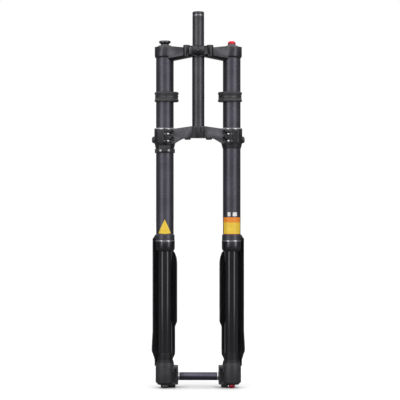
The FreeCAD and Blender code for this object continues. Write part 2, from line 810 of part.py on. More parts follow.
guide = turned(
    "hose_guide_clamp",
    tube_outline(
        "upper_tube_od / 2", "upper_tube_od / 2 + guide_wall", "guide_top - guide_height",
        "guide_top - guide_lap",
    ),
    "-leg_x", "crown_offset",
)
GUIDE_FACE = "-upper_tube_od / 2 - guide_wall"
add_box(
    guide, "-guide_cover_w / 2", GUIDE_FACE, "guide_top - guide_height", "guide_cover_w", "8",
    "guide_height - guide_lap",
)
drill(guide, "0", "0", "guide_top - guide_height - 1", "upper_tube_od / 2", "guide_height + 2")
cover = new_body("hose_guide_cover", "-leg_x", "crown_offset")
add_box(
    cover, "-guide_cover_w / 2", f"{GUIDE_FACE} - guide_cover_depth", "guide_top - guide_cover_h", "guide_cover_w",
    "guide_cover_depth", "guide_cover_h",
)
round_edges(
    cover, "2.2",
    lambda edge: edge.CenterOfMass.y
    < -SIZES["upper_tube_od"] / 2 - SIZES["guide_wall"] - SIZES["guide_cover_depth"] + 0.1,
)
drill(
    cover, "0", f"{GUIDE_FACE} - guide_cover_depth / 2 + 0.4", "guide_top - guide_cover_h - 1",
    "hose_channel_od / 2", "guide_cover_h + 2",
)
for piece in (guide, cover):
    for side in SIDES.values():
        drill(
            piece, f"{side} * guide_screw_x", f"{GUIDE_FACE} - guide_cover_depth - 1",
            "guide_top - guide_screw_drop", "guide_screw_od / 2 + bolt_hole_gap", "guide_cover_depth + 8",
            ALONG_Y,
        )
socket_bolts(
    "hose_guide_screws",
    [
        (
            f"-leg_x + {side} * guide_screw_x", f"crown_offset {GUIDE_FACE} - guide_cover_depth",
            "guide_top - guide_screw_drop", ALONG_MINUS_Y,
        )
        for side in SIDES.values()
    ],
    "guide_screw_od", "guide_cover_depth + 4", "guide_screw_head_od", "guide_screw_head_h", "2.4",
)


# Top caps, air valve and compression adjuster -----------------------------------------------------------------

CAP_SEAT = "top_crown_z + top_crown_height"
CARTRIDGE_TOP = f"{CAP_SEAT} - cap_thread_depth"


def top_cap(label, bore, shoulder, x):
    """A cap that screws into the upper tube and holds the cartridge below it."""
    return turned(
        label,
        [
            (bore, f"{CARTRIDGE_TOP} - cap_spigot_depth"),
            ("cartridge_id / 2", f"{CARTRIDGE_TOP} - cap_spigot_depth"),
            ("cartridge_id / 2", CARTRIDGE_TOP),
            ("upper_tube_id / 2", CARTRIDGE_TOP),
            ("upper_tube_id / 2", CAP_SEAT),
            ("cap_flange_od / 2", CAP_SEAT),
            ("cap_flange_od / 2", f"{CAP_SEAT} + 1.5"),
            (shoulder, f"{CAP_SEAT} + cap_height"),
            ("cap_neck_od / 2", f"{CAP_SEAT} + cap_height"),
            ("cap_neck_od / 2", f"{CAP_SEAT} + cap_height + cap_neck_h"),
            (bore, f"{CAP_SEAT} + cap_height + cap_neck_h"),
        ],
        x, "crown_offset",
    )


NECK_TOP = f"{CAP_SEAT} + cap_height + cap_neck_h"
top_cap("air_top_cap", "valve_od / 2", "valve_cap_od / 2 + 0.8", "-leg_x")
top_cap("damper_top_cap", "needle_od / 2 + running_gap", "knob_od / 2 + 1.8", "leg_x")
turned(
    "air_valve_body",
    [
        ("valve_bore / 2", f"{CARTRIDGE_TOP} - cap_spigot_depth"),
        ("valve_od / 2", f"{CARTRIDGE_TOP} - cap_spigot_depth"),
        ("valve_od / 2", f"{NECK_TOP} + valve_height - 0.6"),
        ("valve_od / 2 - 0.6", f"{NECK_TOP} + valve_height"),
        ("valve_bore / 2", f"{NECK_TOP} + valve_height"),
    ],
    "-leg_x", "crown_offset",
)
turned(
    "air_valve_pin",
    [
        ("0", CAP_SEAT),
        ("valve_bore / 2 - moving_gap", CAP_SEAT),
        ("valve_bore / 2 - moving_gap", f"{CAP_SEAT} + 1.2"),
        ("valve_pin_od / 2", f"{CAP_SEAT} + 1.2"),
        ("valve_pin_od / 2", f"{NECK_TOP} + valve_height - 0.7"),
        ("0", f"{NECK_TOP} + valve_height - 0.7"),
    ],
    "-leg_x", "crown_offset",
)
turned(
    "air_valve_cap",
    [
        ("valve_od / 2 + moving_gap", f"{NECK_TOP} + moving_gap"),
        ("cap_neck_od / 2", f"{NECK_TOP} + moving_gap"),
        ("valve_cap_od / 2", f"{NECK_TOP} + valve_cap_height * 0.45"),
        ("valve_cap_od / 2", f"{NECK_TOP} + valve_cap_height - 1"),
        ("valve_cap_od / 2 - 1", f"{NECK_TOP} + valve_cap_height"),
        ("0", f"{NECK_TOP} + valve_cap_height"),
        ("0", f"{NECK_TOP} + valve_height + moving_gap"),
        ("valve_od / 2 + moving_gap", f"{NECK_TOP} + valve_height + moving_gap"),
    ],
    "-leg_x", "crown_offset",
)
compression_knob = turned(
    "compression_knob",
    [
        ("0", f"{NECK_TOP} + moving_gap"),
        ("knob_od / 2 - 0.5", f"{NECK_TOP} + moving_gap"),
        ("knob_od / 2", f"{NECK_TOP} + moving_gap + 0.8"),
        ("knob_od / 2 - 0.4", f"{NECK_TOP} + knob_height * 0.45"),
        ("knob_top_od / 2 + 1.6", f"{NECK_TOP} + knob_height * 0.85"),
        ("knob_top_od / 2 - 0.8", f"{NECK_TOP} + knob_height"),
        ("0", f"{NECK_TOP} + knob_height"),
    ],
    "leg_x", "crown_offset",
)


def scallop(body, ring_r, notch_r, bottom, height, count):
    """Finger notches around a knob, cut once and repeated about its axis."""
    sketch = sketch_on(body, "XY_Plane", bottom)
    draw_circle(sketch, ring_r, "0", notch_r)
    pocket = extrude(body, "Pocket", sketch, height)
    pocket.Reversed = True
    pattern = body.newObject("PartDesign::PolarPattern", f"{body.Label}_notches")
    pattern.Originals = [pocket]
    pattern.Axis = (sketch, ["N_Axis"])
    pattern.Angle = 360
    pattern.Occurrences = count
    body.Tip = pattern


scallop(compression_knob, "knob_od / 2 + 1.6", "2.8", f"{NECK_TOP} + moving_gap - 1", "knob_height + 2", 10)
turned(
    "compression_needle",
    [
        ("0", "needle_bottom - 4"),
        ("needle_od / 2", "needle_bottom"),
        ("needle_od / 2", f"{NECK_TOP} + moving_gap"),
        ("0", f"{NECK_TOP} + moving_gap"),
    ],
    "leg_x", "crown_offset",
)


# Air spring in the left leg -----------------------------------------------------------------------------------

AIR_HEAD_TOP = "air_tube_bottom + seal_head_spigot"
AIR_HEAD_BOTTOM = "air_tube_bottom - seal_head_height"
AIR_PISTON_BOTTOM = f"{AIR_HEAD_TOP} + moving_gap + bumper_ring_h"
LEFT_LEG = ("-leg_x", "crown_offset")
turned(
    "air_cartridge_tube",
    tube_outline("cartridge_id / 2", "cartridge_od / 2", "air_tube_bottom", CARTRIDGE_TOP),
    *LEFT_LEG,
)


def seal_head(label, shaft_od, tube_bottom, at):
    """The plug that closes a cartridge and guides its shaft."""
    return turned(
        label,
        [
            (f"{shaft_od} / 2 + running_gap", f"{tube_bottom} - seal_head_height"),
            ("cartridge_od / 2 - 1", f"{tube_bottom} - seal_head_height"),
            ("cartridge_od / 2", f"{tube_bottom} - seal_head_height + 1"),
            ("cartridge_od / 2", tube_bottom),
            ("cartridge_id / 2", tube_bottom),
            ("cartridge_id / 2", f"{tube_bottom} + seal_head_spigot"),
            (f"{shaft_od} / 2 + running_gap", f"{tube_bottom} + seal_head_spigot"),
        ],
        *at,
    )


seal_head("air_seal_head", "air_shaft_od", "air_tube_bottom", LEFT_LEG)
turned(
    "air_shaft",
    [
        ("0", "inner_tube_bottom + 15"),
        ("foot_bolt_od / 2", "inner_tube_bottom + 15"),
        ("foot_bolt_od / 2", "inner_tube_bottom"),
        ("air_shaft_od / 2", "inner_tube_bottom"),
        ("air_shaft_od / 2", f"{AIR_PISTON_BOTTOM} + piston_height"),
        ("0", f"{AIR_PISTON_BOTTOM} + piston_height"),
    ],
    *LEFT_LEG,
)
GROOVE_R = "cartridge_id / 2 - running_gap - piston_ring_depth"
GROOVE_Z = f"{AIR_PISTON_BOTTOM} + piston_height / 2 - piston_ring_h / 2"
turned(
    "air_piston",
    [
        ("air_shaft_od / 2", AIR_PISTON_BOTTOM),
        ("cartridge_id / 2 - running_gap", AIR_PISTON_BOTTOM),
        ("cartridge_id / 2 - running_gap", GROOVE_Z),
        (GROOVE_R, GROOVE_Z),
        (GROOVE_R, f"{GROOVE_Z} + piston_ring_h"),
        ("cartridge_id / 2 - running_gap", f"{GROOVE_Z} + piston_ring_h"),
        ("cartridge_id / 2 - running_gap", f"{AIR_PISTON_BOTTOM} + piston_height"),
        ("air_shaft_od / 2", f"{AIR_PISTON_BOTTOM} + piston_height"),
    ],
    *LEFT_LEG,
)
turned(
    "air_piston_ring",
    tube_outline(GROOVE_R, "cartridge_id / 2 - running_gap", GROOVE_Z, f"{GROOVE_Z} + piston_ring_h"),
    *LEFT_LEG,
)
turned(
    "top_out_bumper",
    tube_outline("air_shaft_od / 2", "cartridge_id / 2 - 2", f"{AIR_HEAD_TOP} + moving_gap", AIR_PISTON_BOTTOM),
    *LEFT_LEG,
)
BUMP_TOP = f"{AIR_HEAD_BOTTOM} - travel - 1"
turned(
    "bottom_out_bumper",
    [
        ("air_shaft_od / 2", f"{BUMP_TOP} - bumper_ring_h"),
        ("cartridge_od / 2 - 1", f"{BUMP_TOP} - bumper_ring_h"),
        ("cartridge_od / 2 - 4", BUMP_TOP),
        ("air_shaft_od / 2", BUMP_TOP),
    ],
    *LEFT_LEG,
)


# Damper in the right leg --------------------------------------------------------------------------------------

RIGHT_LEG = ("leg_x", "crown_offset")
ROD_TOP = "damper_tube_bottom + seal_head_spigot + moving_gap + bumper_ring_h + piston_height"
turned(
    "damper_cartridge_tube",
    tube_outline("cartridge_id / 2", "cartridge_od / 2", "damper_tube_bottom", CARTRIDGE_TOP),
    *RIGHT_LEG,
)
seal_head("damper_seal_head", "damper_rod_od", "damper_tube_bottom", RIGHT_LEG)
turned(
    "damper_rod",
    tube_outline(
        "needle_od / 2 + running_gap", "damper_rod_od / 2", "dropout_bottom + 1", ROD_TOP,
    ),
    *RIGHT_LEG,
)
turned(
    "rebound_piston",
    tube_outline("damper_rod_od / 2", "cartridge_id / 2 - running_gap", f"{ROD_TOP} - piston_height", ROD_TOP),
    *RIGHT_LEG,
)
turned(
    "rebound_adjuster_rod",
    [
        ("0", "dropout_bottom - 1"),
        ("needle_od / 2", "dropout_bottom - 1"),
        ("needle_od / 2", f"{ROD_TOP} - 9"),
        ("0", f"{ROD_TOP} - 5"),
    ],
    *RIGHT_LEG,
)
turned(
    "compression_valve_stem",
    tube_outline(
        "needle_od / 2 + running_gap", "stem_od / 2", "base_valve_z", f"{CARTRIDGE_TOP} - cap_spigot_depth",
    ),
    *RIGHT_LEG,
)
turned(
    "compression_valve",
    tube_outline("stem_od / 2", "cartridge_id / 2", "base_valve_z", "base_valve_z + base_valve_h"),
    *RIGHT_LEG,
)
turned(
    "floating_piston",
    tube_outline(
        "stem_od / 2 + running_gap", "cartridge_id / 2 - running_gap", "floating_piston_z",
        "floating_piston_z + piston_height",
    ),
    *RIGHT_LEG,
)


# Inner tubes, dropouts and axle -------------------------------------------------------------------------------

for name, side in SIDES.items():
    at = (f"{side} * leg_x", "crown_offset")
    turned(
        f"{name}_inner_tube",
        tube_outline("inner_tube_id / 2", "inner_tube_od / 2", "inner_tube_bottom", "inner_tube_top"),
        *at,
    )
    turned(
        f"{name}_top_bushing",
        tube_outline(
            "inner_tube_od / 2", "upper_tube_id / 2 - running_gap", "inner_tube_top - bushing_length / 2",
            "inner_tube_top",
        ),
        *at,
    )

AXLE_Y = "axle_forward"


def span(side, inner, outer):
    """Where a stretch across the leg starts and how long it is, from its distances to the fork's middle."""
    start = f"({inner} - leg_x)" if side > 0 else f"(leg_x - ({outer}))"
    return start, f"({outer} - ({inner}))"


def dropout(name, side):
    """The casting that holds the inner tube, the axle and the guard's foot."""
    body = turned(
        f"{name}_dropout",
        [
            ("0", "dropout_bottom"),
            ("dropout_od / 2 - dropout_chamfer", "dropout_bottom"),
            ("dropout_od / 2", "dropout_bottom + dropout_chamfer"),
            ("dropout_od / 2", "dropout_shoulder"),
            ("dropout_od / 2 - 1", "dropout_top - 6"),
            ("inner_tube_od / 2 + neck_wall + 0.6", "dropout_top"),
            ("inner_tube_od / 2 + neck_wall", "neck_top"),
            ("0", "neck_top"),
        ],
        f"{side} * leg_x", "crown_offset",
    )
    # Lug across the axle: its profile is drawn looking along X, and its front is rounded about the axle.
    start, length = span(side, "hub_gap / 2", "lug_outer_x")
    lug = sketch_on(body, "YZ_Plane", start)
    draw_outline(
        lug,
        [
            ("-12", "axle_z - lug_radius"),
            (AXLE_Y, "axle_z - lug_radius"),
            (f"{AXLE_Y} + lug_radius", "axle_z"),
            (f"{AXLE_Y} + lug_radius - 4", "axle_z + lug_radius"),
            (f"{AXLE_Y} + 6", "dropout_shoulder - 0.5"),
            ("-12", "dropout_shoulder - 0.5"),
        ],
    )
    extrude(body, "Pad", lug, length)
    add_disc(body, start, AXLE_Y, "axle_z", "lug_radius", length, ALONG_X)
    # Pinch pad under the axle.
    pad_start, pad_length = span(side, "pinch_pad_x - pinch_pad_w / 2", "pinch_pad_x + pinch_pad_w / 2")
    add_box(
        body, pad_start, f"{AXLE_Y} - 13", "dropout_bottom - pinch_pad_drop", pad_length, "26",
        "pinch_pad_drop + 8",
    )
    round_edges(
        body, "2",
        lambda edge: edge.CenterOfMass.z < SIZES["dropout_bottom"] - 2
        or abs(edge.CenterOfMass.x) > SIZES["leg_x"] - SIZES["hub_gap"] / 2 - 0.1
        and edge.CenterOfMass.x * side < 0,
    )
    # Socket of the inner tube, axle bore, hub seat, pinch slit and the hole up the middle of the leg.
    drill(body, "0", "0", "inner_tube_bottom", "inner_tube_od / 2", "neck_top - inner_tube_bottom + 1")
    drill(body, f"{start} - 1", AXLE_Y, "axle_z", "axle_od / 2 + running_gap", f"{length} + 2", ALONG_X)
    seat_start, seat_length = span(side, "hub_gap / 2 - 1", "hub_width / 2 + 0.5")
    drill(body, seat_start, AXLE_Y, "axle_z", "hub_seat_od / 2", seat_length, ALONG_X)
    cut_box(
        body, pad_start, f"{AXLE_Y} - clamp_slit / 2", "dropout_bottom - pinch_pad_drop - 1",
        pad_length, "clamp_slit", "axle_z - dropout_bottom + pinch_pad_drop + 1",
    )
    for x in ("pinch_pad_x - pinch_pad_w / 4", "pinch_pad_x + pinch_pad_w / 4"):
        drill(
            body, f"{side} * ({x} - leg_x)", f"{AXLE_Y} - 14", "dropout_bottom - pinch_pad_drop / 2",
            "guard_screw_od / 2 + bolt_hole_gap", "28", ALONG_Y,
        )
    # Pocket behind the lug, where the casting is hollowed. It is narrower beside the inner tube's socket.
    recess_start, recess_length = span(side, "hub_gap / 2 + 3.5", "leg_x - 14.5")
    cut_box(body, recess_start, "-14", "axle_z - 11.5", recess_length, "13.5", "24.5")
    beside_start, beside_length = span(side, "hub_gap / 2 + 3.5", "leg_x - 22.5")
    cut_box(body, beside_start, "-14", "axle_z + 12", beside_length, "13.5", "10")
    return body


left_dropout = dropout("left", -1)
drill(
    left_dropout, "0", "0", "dropout_bottom - 1", "foot_bolt_od / 2 + bolt_hole_gap",
    "inner_tube_bottom - dropout_bottom + 2",
)
right_dropout = dropout("right", 1)
drill(
    right_dropout, "0", "0", "dropout_bottom - 1", "damper_rod_od / 2", "inner_tube_bottom - dropout_bottom + 2",
)
drill(right_dropout, "0", "0", "dropout_bottom - 1", "foot_nut_od / 2 + 0.3", "foot_nut_height + 2")
# Spot face for the axle's head.
drill(
    right_dropout, "lug_outer_x - leg_x", AXLE_Y, "axle_z", "axle_head_od / 2 + moving_gap", "axle_head_h + 4",
    ALONG_X,
)
turned(
    "left_foot_bolt",
    [
        ("0", "dropout_bottom - foot_cap_height"),
        ("foot_cap_od / 2 - 1.5", "dropout_bottom - foot_cap_height"),
        ("foot_cap_od / 2", "dropout_bottom - foot_cap_height + 1.5"),
        ("foot_cap_od / 2", "dropout_bottom"),
        ("foot_bolt_od / 2", "dropout_bottom"),
        ("foot_bolt_od / 2", "inner_tube_bottom + 13"),
        ("0", "inner_tube_bottom + 13"),
    ],
    *LEFT_LEG,
)
turned(
    "right_foot_nut",
    [
        ("damper_rod_od / 2", "dropout_bottom + 1"),
        ("foot_nut_od / 2 - 1", "dropout_bottom + 1"),
        ("foot_nut_od / 2", "dropout_bottom + 2"),
        ("foot_nut_od / 2", "dropout_bottom + 1 + foot_nut_height"),
        ("damper_rod_od / 2", "dropout_bottom + 1 + foot_nut_height"),
    ],
    *RIGHT_LEG,
)
rebound_knob = turned(
    "rebound_knob",
    [
        ("0", "dropout_bottom - foot_cap_height - 1"),
        ("rebound_knob_od / 2 - 2", "dropout_bottom - foot_cap_height - 1"),
        ("rebound_knob_od / 2 - 0.6", "dropout_bottom - foot_cap_height + 0.6"),
        ("rebound_knob_od / 2", "dropout_bottom - foot_cap_height + 2.5"),
        ("rebound_knob_od / 2", "dropout_bottom - 1"),
        ("0", "dropout_bottom - 1"),
    ],
    *RIGHT_LEG,
)
scallop(
    rebound_knob, "rebound_knob_od / 2 + 1.2", "2", "dropout_bottom - foot_cap_height - 2", "foot_cap_height + 2", 8,
)

AXLE_AT = ("0", "crown_offset + axle_forward", "axle_z", ALONG_X)
axle = turned(
    "through_axle",
    [
        ("0", "-lug_outer_x + 2"),
        ("axle_od / 2 - 1.5", "-lug_outer_x + 2"),
        ("axle_od / 2", "-lug_outer_x + 3.5"),
        ("axle_od / 2", "-hub_width / 2 - axle_groove"),
        ("axle_od / 2 - 0.5", "-hub_width / 2 - axle_groove"),
        ("axle_od / 2 - 0.5", "-hub_width / 2"),
        ("axle_od / 2", "-hub_width / 2"),
        ("axle_od / 2", "hub_width / 2"),
        ("axle_od / 2 - 0.5", "hub_width / 2"),
        ("axle_od / 2 - 0.5", "hub_width / 2 + axle_groove"),
        ("axle_od / 2", "hub_width / 2 + axle_groove"),
        ("axle_od / 2", "lug_outer_x + moving_gap"),
        ("axle_head_od / 2", "lug_outer_x + moving_gap"),
        ("axle_head_od / 2", "lug_outer_x + axle_head_h - 1"),
        ("axle_head_od / 2 - 1", "lug_outer_x + axle_head_h"),
        ("0", "lug_outer_x + axle_head_h"),
    ],
    *AXLE_AT,
)
primitive(
    axle, "SubtractivePrism", "0", "0", "lug_outer_x + axle_head_h - 8", Circumradius="axle_socket / 2", Height="9",
)
drill(axle, "0", "0", "-lug_outer_x + 1", "axle_od / 2 - 4", "2 * lug_outer_x - 14")

socket_bolts(
    "axle_pinch_bolts",
    [
        (f"{side} * ({x})", "crown_offset + axle_forward + 13", "dropout_bottom - pinch_pad_drop / 2", ALONG_Y)
        for side in SIDES.values()
        for x in ("pinch_pad_x - pinch_pad_w / 4", "pinch_pad_x + pinch_pad_w / 4")
    ],
    "guard_screw_od", "25", "7", "3.5", "3.4",
)


# Tube guards --------------------------------------------------------------------------------------------------


def guard(name, side):
    """A curved shield in front of the inner tube, screwed to the dropout at its foot."""
    body = new_body(f"{name}_guard", f"{side} * leg_x", "crown_offset")
    section = sketch_on(body, "YZ_Plane")
    inner = [
        ("dropout_od / 2 + guard_foot_gap", "dropout_shoulder"),
        ("dropout_od / 2 + guard_foot_gap", "dropout_top"),
        ("guard_od / 2 - guard_wall + guard_flare", "guard_flare_z - 5"),
        ("guard_od / 2 - guard_wall + guard_flare", "guard_flare_z + 5"),
        ("guard_od / 2 - guard_wall", "guard_flare_z + 45"),
        ("guard_od / 2 - guard_wall", "guard_outer_top"),
    ]
    outer = [(f"{radius} + guard_wall", height) for radius, height in reversed(inner)]
    draw_outline(section, inner + outer)
    revolve(body, section, "guard_angle")
    # Seen from behind, the top slopes down to the inner side and the lower part is narrower there.
    trim = sketch_on(body, "XZ_Plane")
    draw_outline(
        trim,
        [
            (f"{side} * (guard_od / 2 + 9)", "guard_outer_top + 1"),
            (f"{side} * (guard_od / 2 + 9)", "guard_outer_top - 9"),
            (f"{side} * (guard_od / 2 - 1)", "guard_outer_top - 9"),
            (f"{side} * (guard_od / 2 - 5)", "guard_outer_top - 2"),
            (f"{side} * (guard_od / 2 - 10)", "guard_outer_top"),
            (f"{-side} * (guard_od / 2 - 20)", "guard_inner_top + 5"),
            (f"{-side} * (guard_od / 2 - 10)", "guard_inner_top"),
            (f"{-side} * (guard_od / 2 - 5)", "guard_inner_top - 6"),
            (f"{-side} * (guard_od / 2 - 1.5)", "guard_inner_top - 16"),
            (f"{-side} * (guard_od / 2)", "guard_inner_top - 28"),
            (f"{-side} * (guard_od / 2 + 9)", "guard_inner_top - 28"),
            (f"{-side} * (guard_od / 2 + 9)", "guard_outer_top + 1"),
        ],
    )
    draw_outline(
        trim,
        [
            (f"{-side} * (guard_od / 2 + 9)", "guard_step_z"),
            (f"{-side} * (guard_od / 2)", "guard_step_z"),
            (f"{-side} * guard_step_x", "guard_step_z - 12"),
            (f"{-side} * guard_step_x", "dropout_top + 12"),
            (f"{-side} * (guard_step_x - 6)", "dropout_top"),
            (f"{-side} * (guard_step_x - 10)", "dropout_shoulder - 1"),
            (f"{-side} * (guard_od / 2 + 9)", "dropout_shoulder - 1"),
        ],
    )
    extrude(body, "Pocket", trim, both=True)
    return body


SCREW_ANGLES = (60, 105)
SCREW_Z = "(dropout_top + dropout_shoulder) / 2 - 2"
seats = []
for name, side in SIDES.items():
    shield = guard(name, side)
    casting = left_dropout if side < 0 else right_dropout
    for angle in SCREW_ANGLES:
        heading = FreeCAD.Rotation(FreeCAD.Vector(0, 0, 1), angle if side > 0 else 180 - angle)
        out = heading.multiply(ALONG_X)
        way = out.multVec(FreeCAD.Vector(0, 0, 1))
        for piece in (shield, casting):
            drill(
                piece, f"{way.x:.6f} * (dropout_od / 2 - 4)", f"{way.y:.6f} * (dropout_od / 2 - 4)", SCREW_Z,
                "guard_screw_od / 2 + bolt_hole_gap", "12", out,
            )
        seat_r = "(dropout_od / 2 + guard_foot_gap + guard_wall)"
        seats.append(
            (
                f"{side} * leg_x + {way.x:.6f} * {seat_r}", f"crown_offset + {way.y:.6f} * {seat_r}", SCREW_Z, out,
            )
        )
socket_bolts(
    "guard_screws", seats, "guard_screw_od", "guard_wall + 3.5", "guard_screw_head_od", "guard_screw_head_h", "3",
)


# Check and export ---------------------------------------------------------------------------------------------

doc.recompute()
for item in doc.Objects:
    if "Invalid" in item.State or "Error" in item.State:
        raise RuntimeError(f"{item.Label} did not build: {item.State}")
os.makedirs("parts", exist_ok=True)
for node in nodes:
    if node.Shape.isNull() or not node.Shape.isValid():
        raise RuntimeError(f"{node.Label} has no valid shape")
    if not node.Shape.Solids:
        raise RuntimeError(f"{node.Label} holds no solid")
for node in nodes:
    node.Shape.exportStep(f"parts/{node.Label}.step")
print(f"{len(nodes)} nodes written")
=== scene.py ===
# %% [markdown]
# # An inverted dual-crown bicycle fork
#
# The CAD model already holds every piece of this fork in its right place and size. This lesson makes it
# look real. Three things do that work: node materials with grain and slow changes in them, copies of the
# forged pieces with their edges rounded, and new pieces built as numpy surfaces where the CAD shape is
# too plain.

# %% Load the frame
import json
import math

import bmesh
import bpy
import numpy as np
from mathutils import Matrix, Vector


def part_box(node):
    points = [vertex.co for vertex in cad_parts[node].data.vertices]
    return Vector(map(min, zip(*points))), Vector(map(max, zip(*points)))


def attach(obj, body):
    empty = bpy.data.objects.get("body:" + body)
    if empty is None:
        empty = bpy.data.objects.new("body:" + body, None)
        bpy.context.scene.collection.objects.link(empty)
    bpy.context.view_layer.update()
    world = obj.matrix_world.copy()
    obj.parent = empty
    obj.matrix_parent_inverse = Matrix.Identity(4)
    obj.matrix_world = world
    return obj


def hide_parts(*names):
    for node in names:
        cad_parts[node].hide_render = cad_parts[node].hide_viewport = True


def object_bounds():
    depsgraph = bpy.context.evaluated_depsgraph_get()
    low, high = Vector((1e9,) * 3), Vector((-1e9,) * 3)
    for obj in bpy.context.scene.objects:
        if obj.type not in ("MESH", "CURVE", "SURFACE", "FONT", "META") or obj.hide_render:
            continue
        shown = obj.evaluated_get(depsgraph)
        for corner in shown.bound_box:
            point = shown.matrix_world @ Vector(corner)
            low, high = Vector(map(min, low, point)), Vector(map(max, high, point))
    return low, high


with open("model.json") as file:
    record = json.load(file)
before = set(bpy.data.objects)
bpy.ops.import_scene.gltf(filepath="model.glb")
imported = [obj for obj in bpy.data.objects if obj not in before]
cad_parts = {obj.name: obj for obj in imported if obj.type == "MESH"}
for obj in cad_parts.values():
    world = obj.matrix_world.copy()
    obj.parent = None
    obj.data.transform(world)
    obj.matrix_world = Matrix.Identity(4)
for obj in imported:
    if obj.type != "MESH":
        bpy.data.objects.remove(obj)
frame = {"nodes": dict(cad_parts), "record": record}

NODES = frame["nodes"]
CAD_BOX = [[float(v) for v in corner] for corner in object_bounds()]
MM = 0.001


def centre(node, axis):
    """The middle of a CAD node along an axis, in metres, rounded to a tenth of a millimetre."""
    low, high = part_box(node)
    return round(float(low[axis] + high[axis]) / 2, 4)


LEG_X = centre("right_upper_tube", 0)
LEG_Y = centre("right_upper_tube", 1)
SIDES = {"left": -1, "right": 1}
print(len(NODES), "CAD nodes, box", CAD_BOX)
print("the legs' axes are at x", LEG_X, "and y", LEG_Y)

# %% [markdown]
# ## Finishes
#
# Black anodised aluminium is never one flat black. The dye takes a little unevenly, so the colour drifts
# slowly over a few centimetres. The surface under it was blasted or turned, so it has a fine grain that
# spreads the highlights. One function builds every hard finish from these parts:
#
# - a slow cloud of noise mixes a light and a dark shade of the colour,
# - a second cloud moves the roughness up and down,
# - a fine grain, which can be stretched along an axis, feeds the bump.
#
# All of it reads Object coordinates. The objects are modelled in metres, so a scale of 1000 gives a grain
# of about a millimetre, and the pattern stays on the piece when the fork moves.

# %% Three small node helpers
EVEN = (1.0, 1.0, 1.0)


def noise(tree, coordinates, scale, detail, stretch=EVEN):
    """A noise texture on stretched Object coordinates. Returns its Fac output."""
    mapping = tree.nodes.new("ShaderNodeMapping")
    mapping.inputs["Scale"].default_value = stretch
    tree.links.new(coordinates, mapping.inputs["Vector"])
    texture = tree.nodes.new("ShaderNodeTexNoise")
    texture.inputs["Scale"].default_value = scale
    texture.inputs["Detail"].default_value = detail
    tree.links.new(mapping.outputs["Vector"], texture.inputs["Vector"])
    return texture.outputs["Fac"]


def ramp(tree, value, span, to=(0.0, 1.0)):
    """Maps a value from one span to another in a straight line, held at both ends."""
    node = tree.nodes.new("ShaderNodeMapRange")
    for name, number in zip(("From Min", "From Max", "To Min", "To Max"), (*span, *to)):
        node.inputs[name].default_value = number
    tree.links.new(value, node.inputs["Value"])
    return node.outputs["Result"]


def mix(tree, factor, first, second):
    """Mixes two colours, each an RGB triple or an output, by a factor output."""
    node = tree.nodes.new("ShaderNodeMix")
    node.data_type = "RGBA"
    tree.links.new(factor, node.inputs["Factor"])
    for socket, colour in zip((node.inputs[6], node.inputs[7]), (first, second)):
        if isinstance(colour, tuple):
            socket.default_value = (*colour, 1.0)
        else:
            tree.links.new(colour, socket)
    return node.outputs[2]


print("noise, ramp and mix ready")

# %% The function that builds a hard finish
CLOUD_SPAN = (0.35, 0.65)
SPECKLE_SPAN = (0.5, 0.8)
STREAK_SPAN = (0.3, 0.7)
SPECKLE_GAIN = 1.4
SPECKLE_SHARE = 0.5
GRAIN_DEPTH = 0.2 * MM
COAT_ROUGHNESS = 0.08
DIVIDE_WIDTH = 1.0 * MM


def finish(
    name, light, dark, metallic, rough, spread=0.08, cloud=25.0, grain=900.0, bump=0.15, stretch=EVEN,
    coat=0.0, specular=0.5, above=None,
):
    """A hard finish: two drifting shades, drifting roughness, and a fine grain as bump.

    above, if given, is a height in metres and a darker colour that the piece has over that height.
    """
    material = bpy.data.materials.new(name)
    material.use_nodes = True
    tree = material.node_tree
    shader = tree.nodes["Principled BSDF"]
    coordinates = tree.nodes.new("ShaderNodeTexCoord").outputs["Object"]
    slow = noise(tree, coordinates, cloud, 3.0)
    fine = noise(tree, coordinates, grain, 4.0, stretch)
    shades = mix(tree, ramp(tree, slow, CLOUD_SPAN), dark, light)
    speckle = tuple(min(1.0, SPECKLE_GAIN * v) for v in light)
    colour = mix(tree, ramp(tree, fine, SPECKLE_SPAN, (0.0, SPECKLE_SHARE)), shades, speckle)
    if above is not None:
        split = tree.nodes.new("ShaderNodeSeparateXYZ")
        tree.links.new(coordinates, split.inputs["Vector"])
        level, upper = above
        divide = ramp(tree, split.outputs["Z"], (level - DIVIDE_WIDTH, level + DIVIDE_WIDTH))
        colour = mix(tree, divide, colour, upper)
    tree.links.new(colour, shader.inputs["Base Color"])
    streaks = noise(tree, coordinates, cloud * 4.0, 2.0, stretch)
    gloss = ramp(tree, streaks, STREAK_SPAN, (rough - spread, rough + spread))
    tree.links.new(gloss, shader.inputs["Roughness"])
    relief = tree.nodes.new("ShaderNodeBump")
    relief.inputs["Strength"].default_value = bump
    relief.inputs["Distance"].default_value = GRAIN_DEPTH
    tree.links.new(fine, relief.inputs["Height"])
    tree.links.new(relief.outputs["Normal"], shader.inputs["Normal"])
    shader.inputs["Metallic"].default_value = metallic
    shader.inputs["Specular IOR Level"].default_value = specular
    shader.inputs["Coat Weight"].default_value = coat
    shader.inputs["Coat Roughness"].default_value = COAT_ROUGHNESS
    return material


print("hard finish ready")

# %% [markdown]
# ## One finish for each kind of surface
#
# A tube that was turned on a lathe has fine rings around it, so its grain is stretched sideways: the
# coordinates are scaled down along X and Y and kept along Z. A drawn or honed tube has the opposite. A
# casting was blasted, so its grain is the same in all directions and coarser. Rubber is rough, with no
# metal in it.
#
# Each finish is given as its light shade, its dark shade, how metallic it is and how rough. The dropouts
# are darker above the shoulder where the casting ends and the socket of the inner tube begins.

# %% The directions of the grain
TURNED = (0.06, 0.06, 1.0)
DRAWN = (1.0, 1.0, 0.05)
POLISHED = (1.0, 1.0, 0.08)
ALONG_AXLE = (1.0, 0.06, 0.06)
SOCKET_Z = -0.581
SOCKET_BLACK = (0.010, 0.010, 0.012)
FINISHES = {}
print("grain directions set")

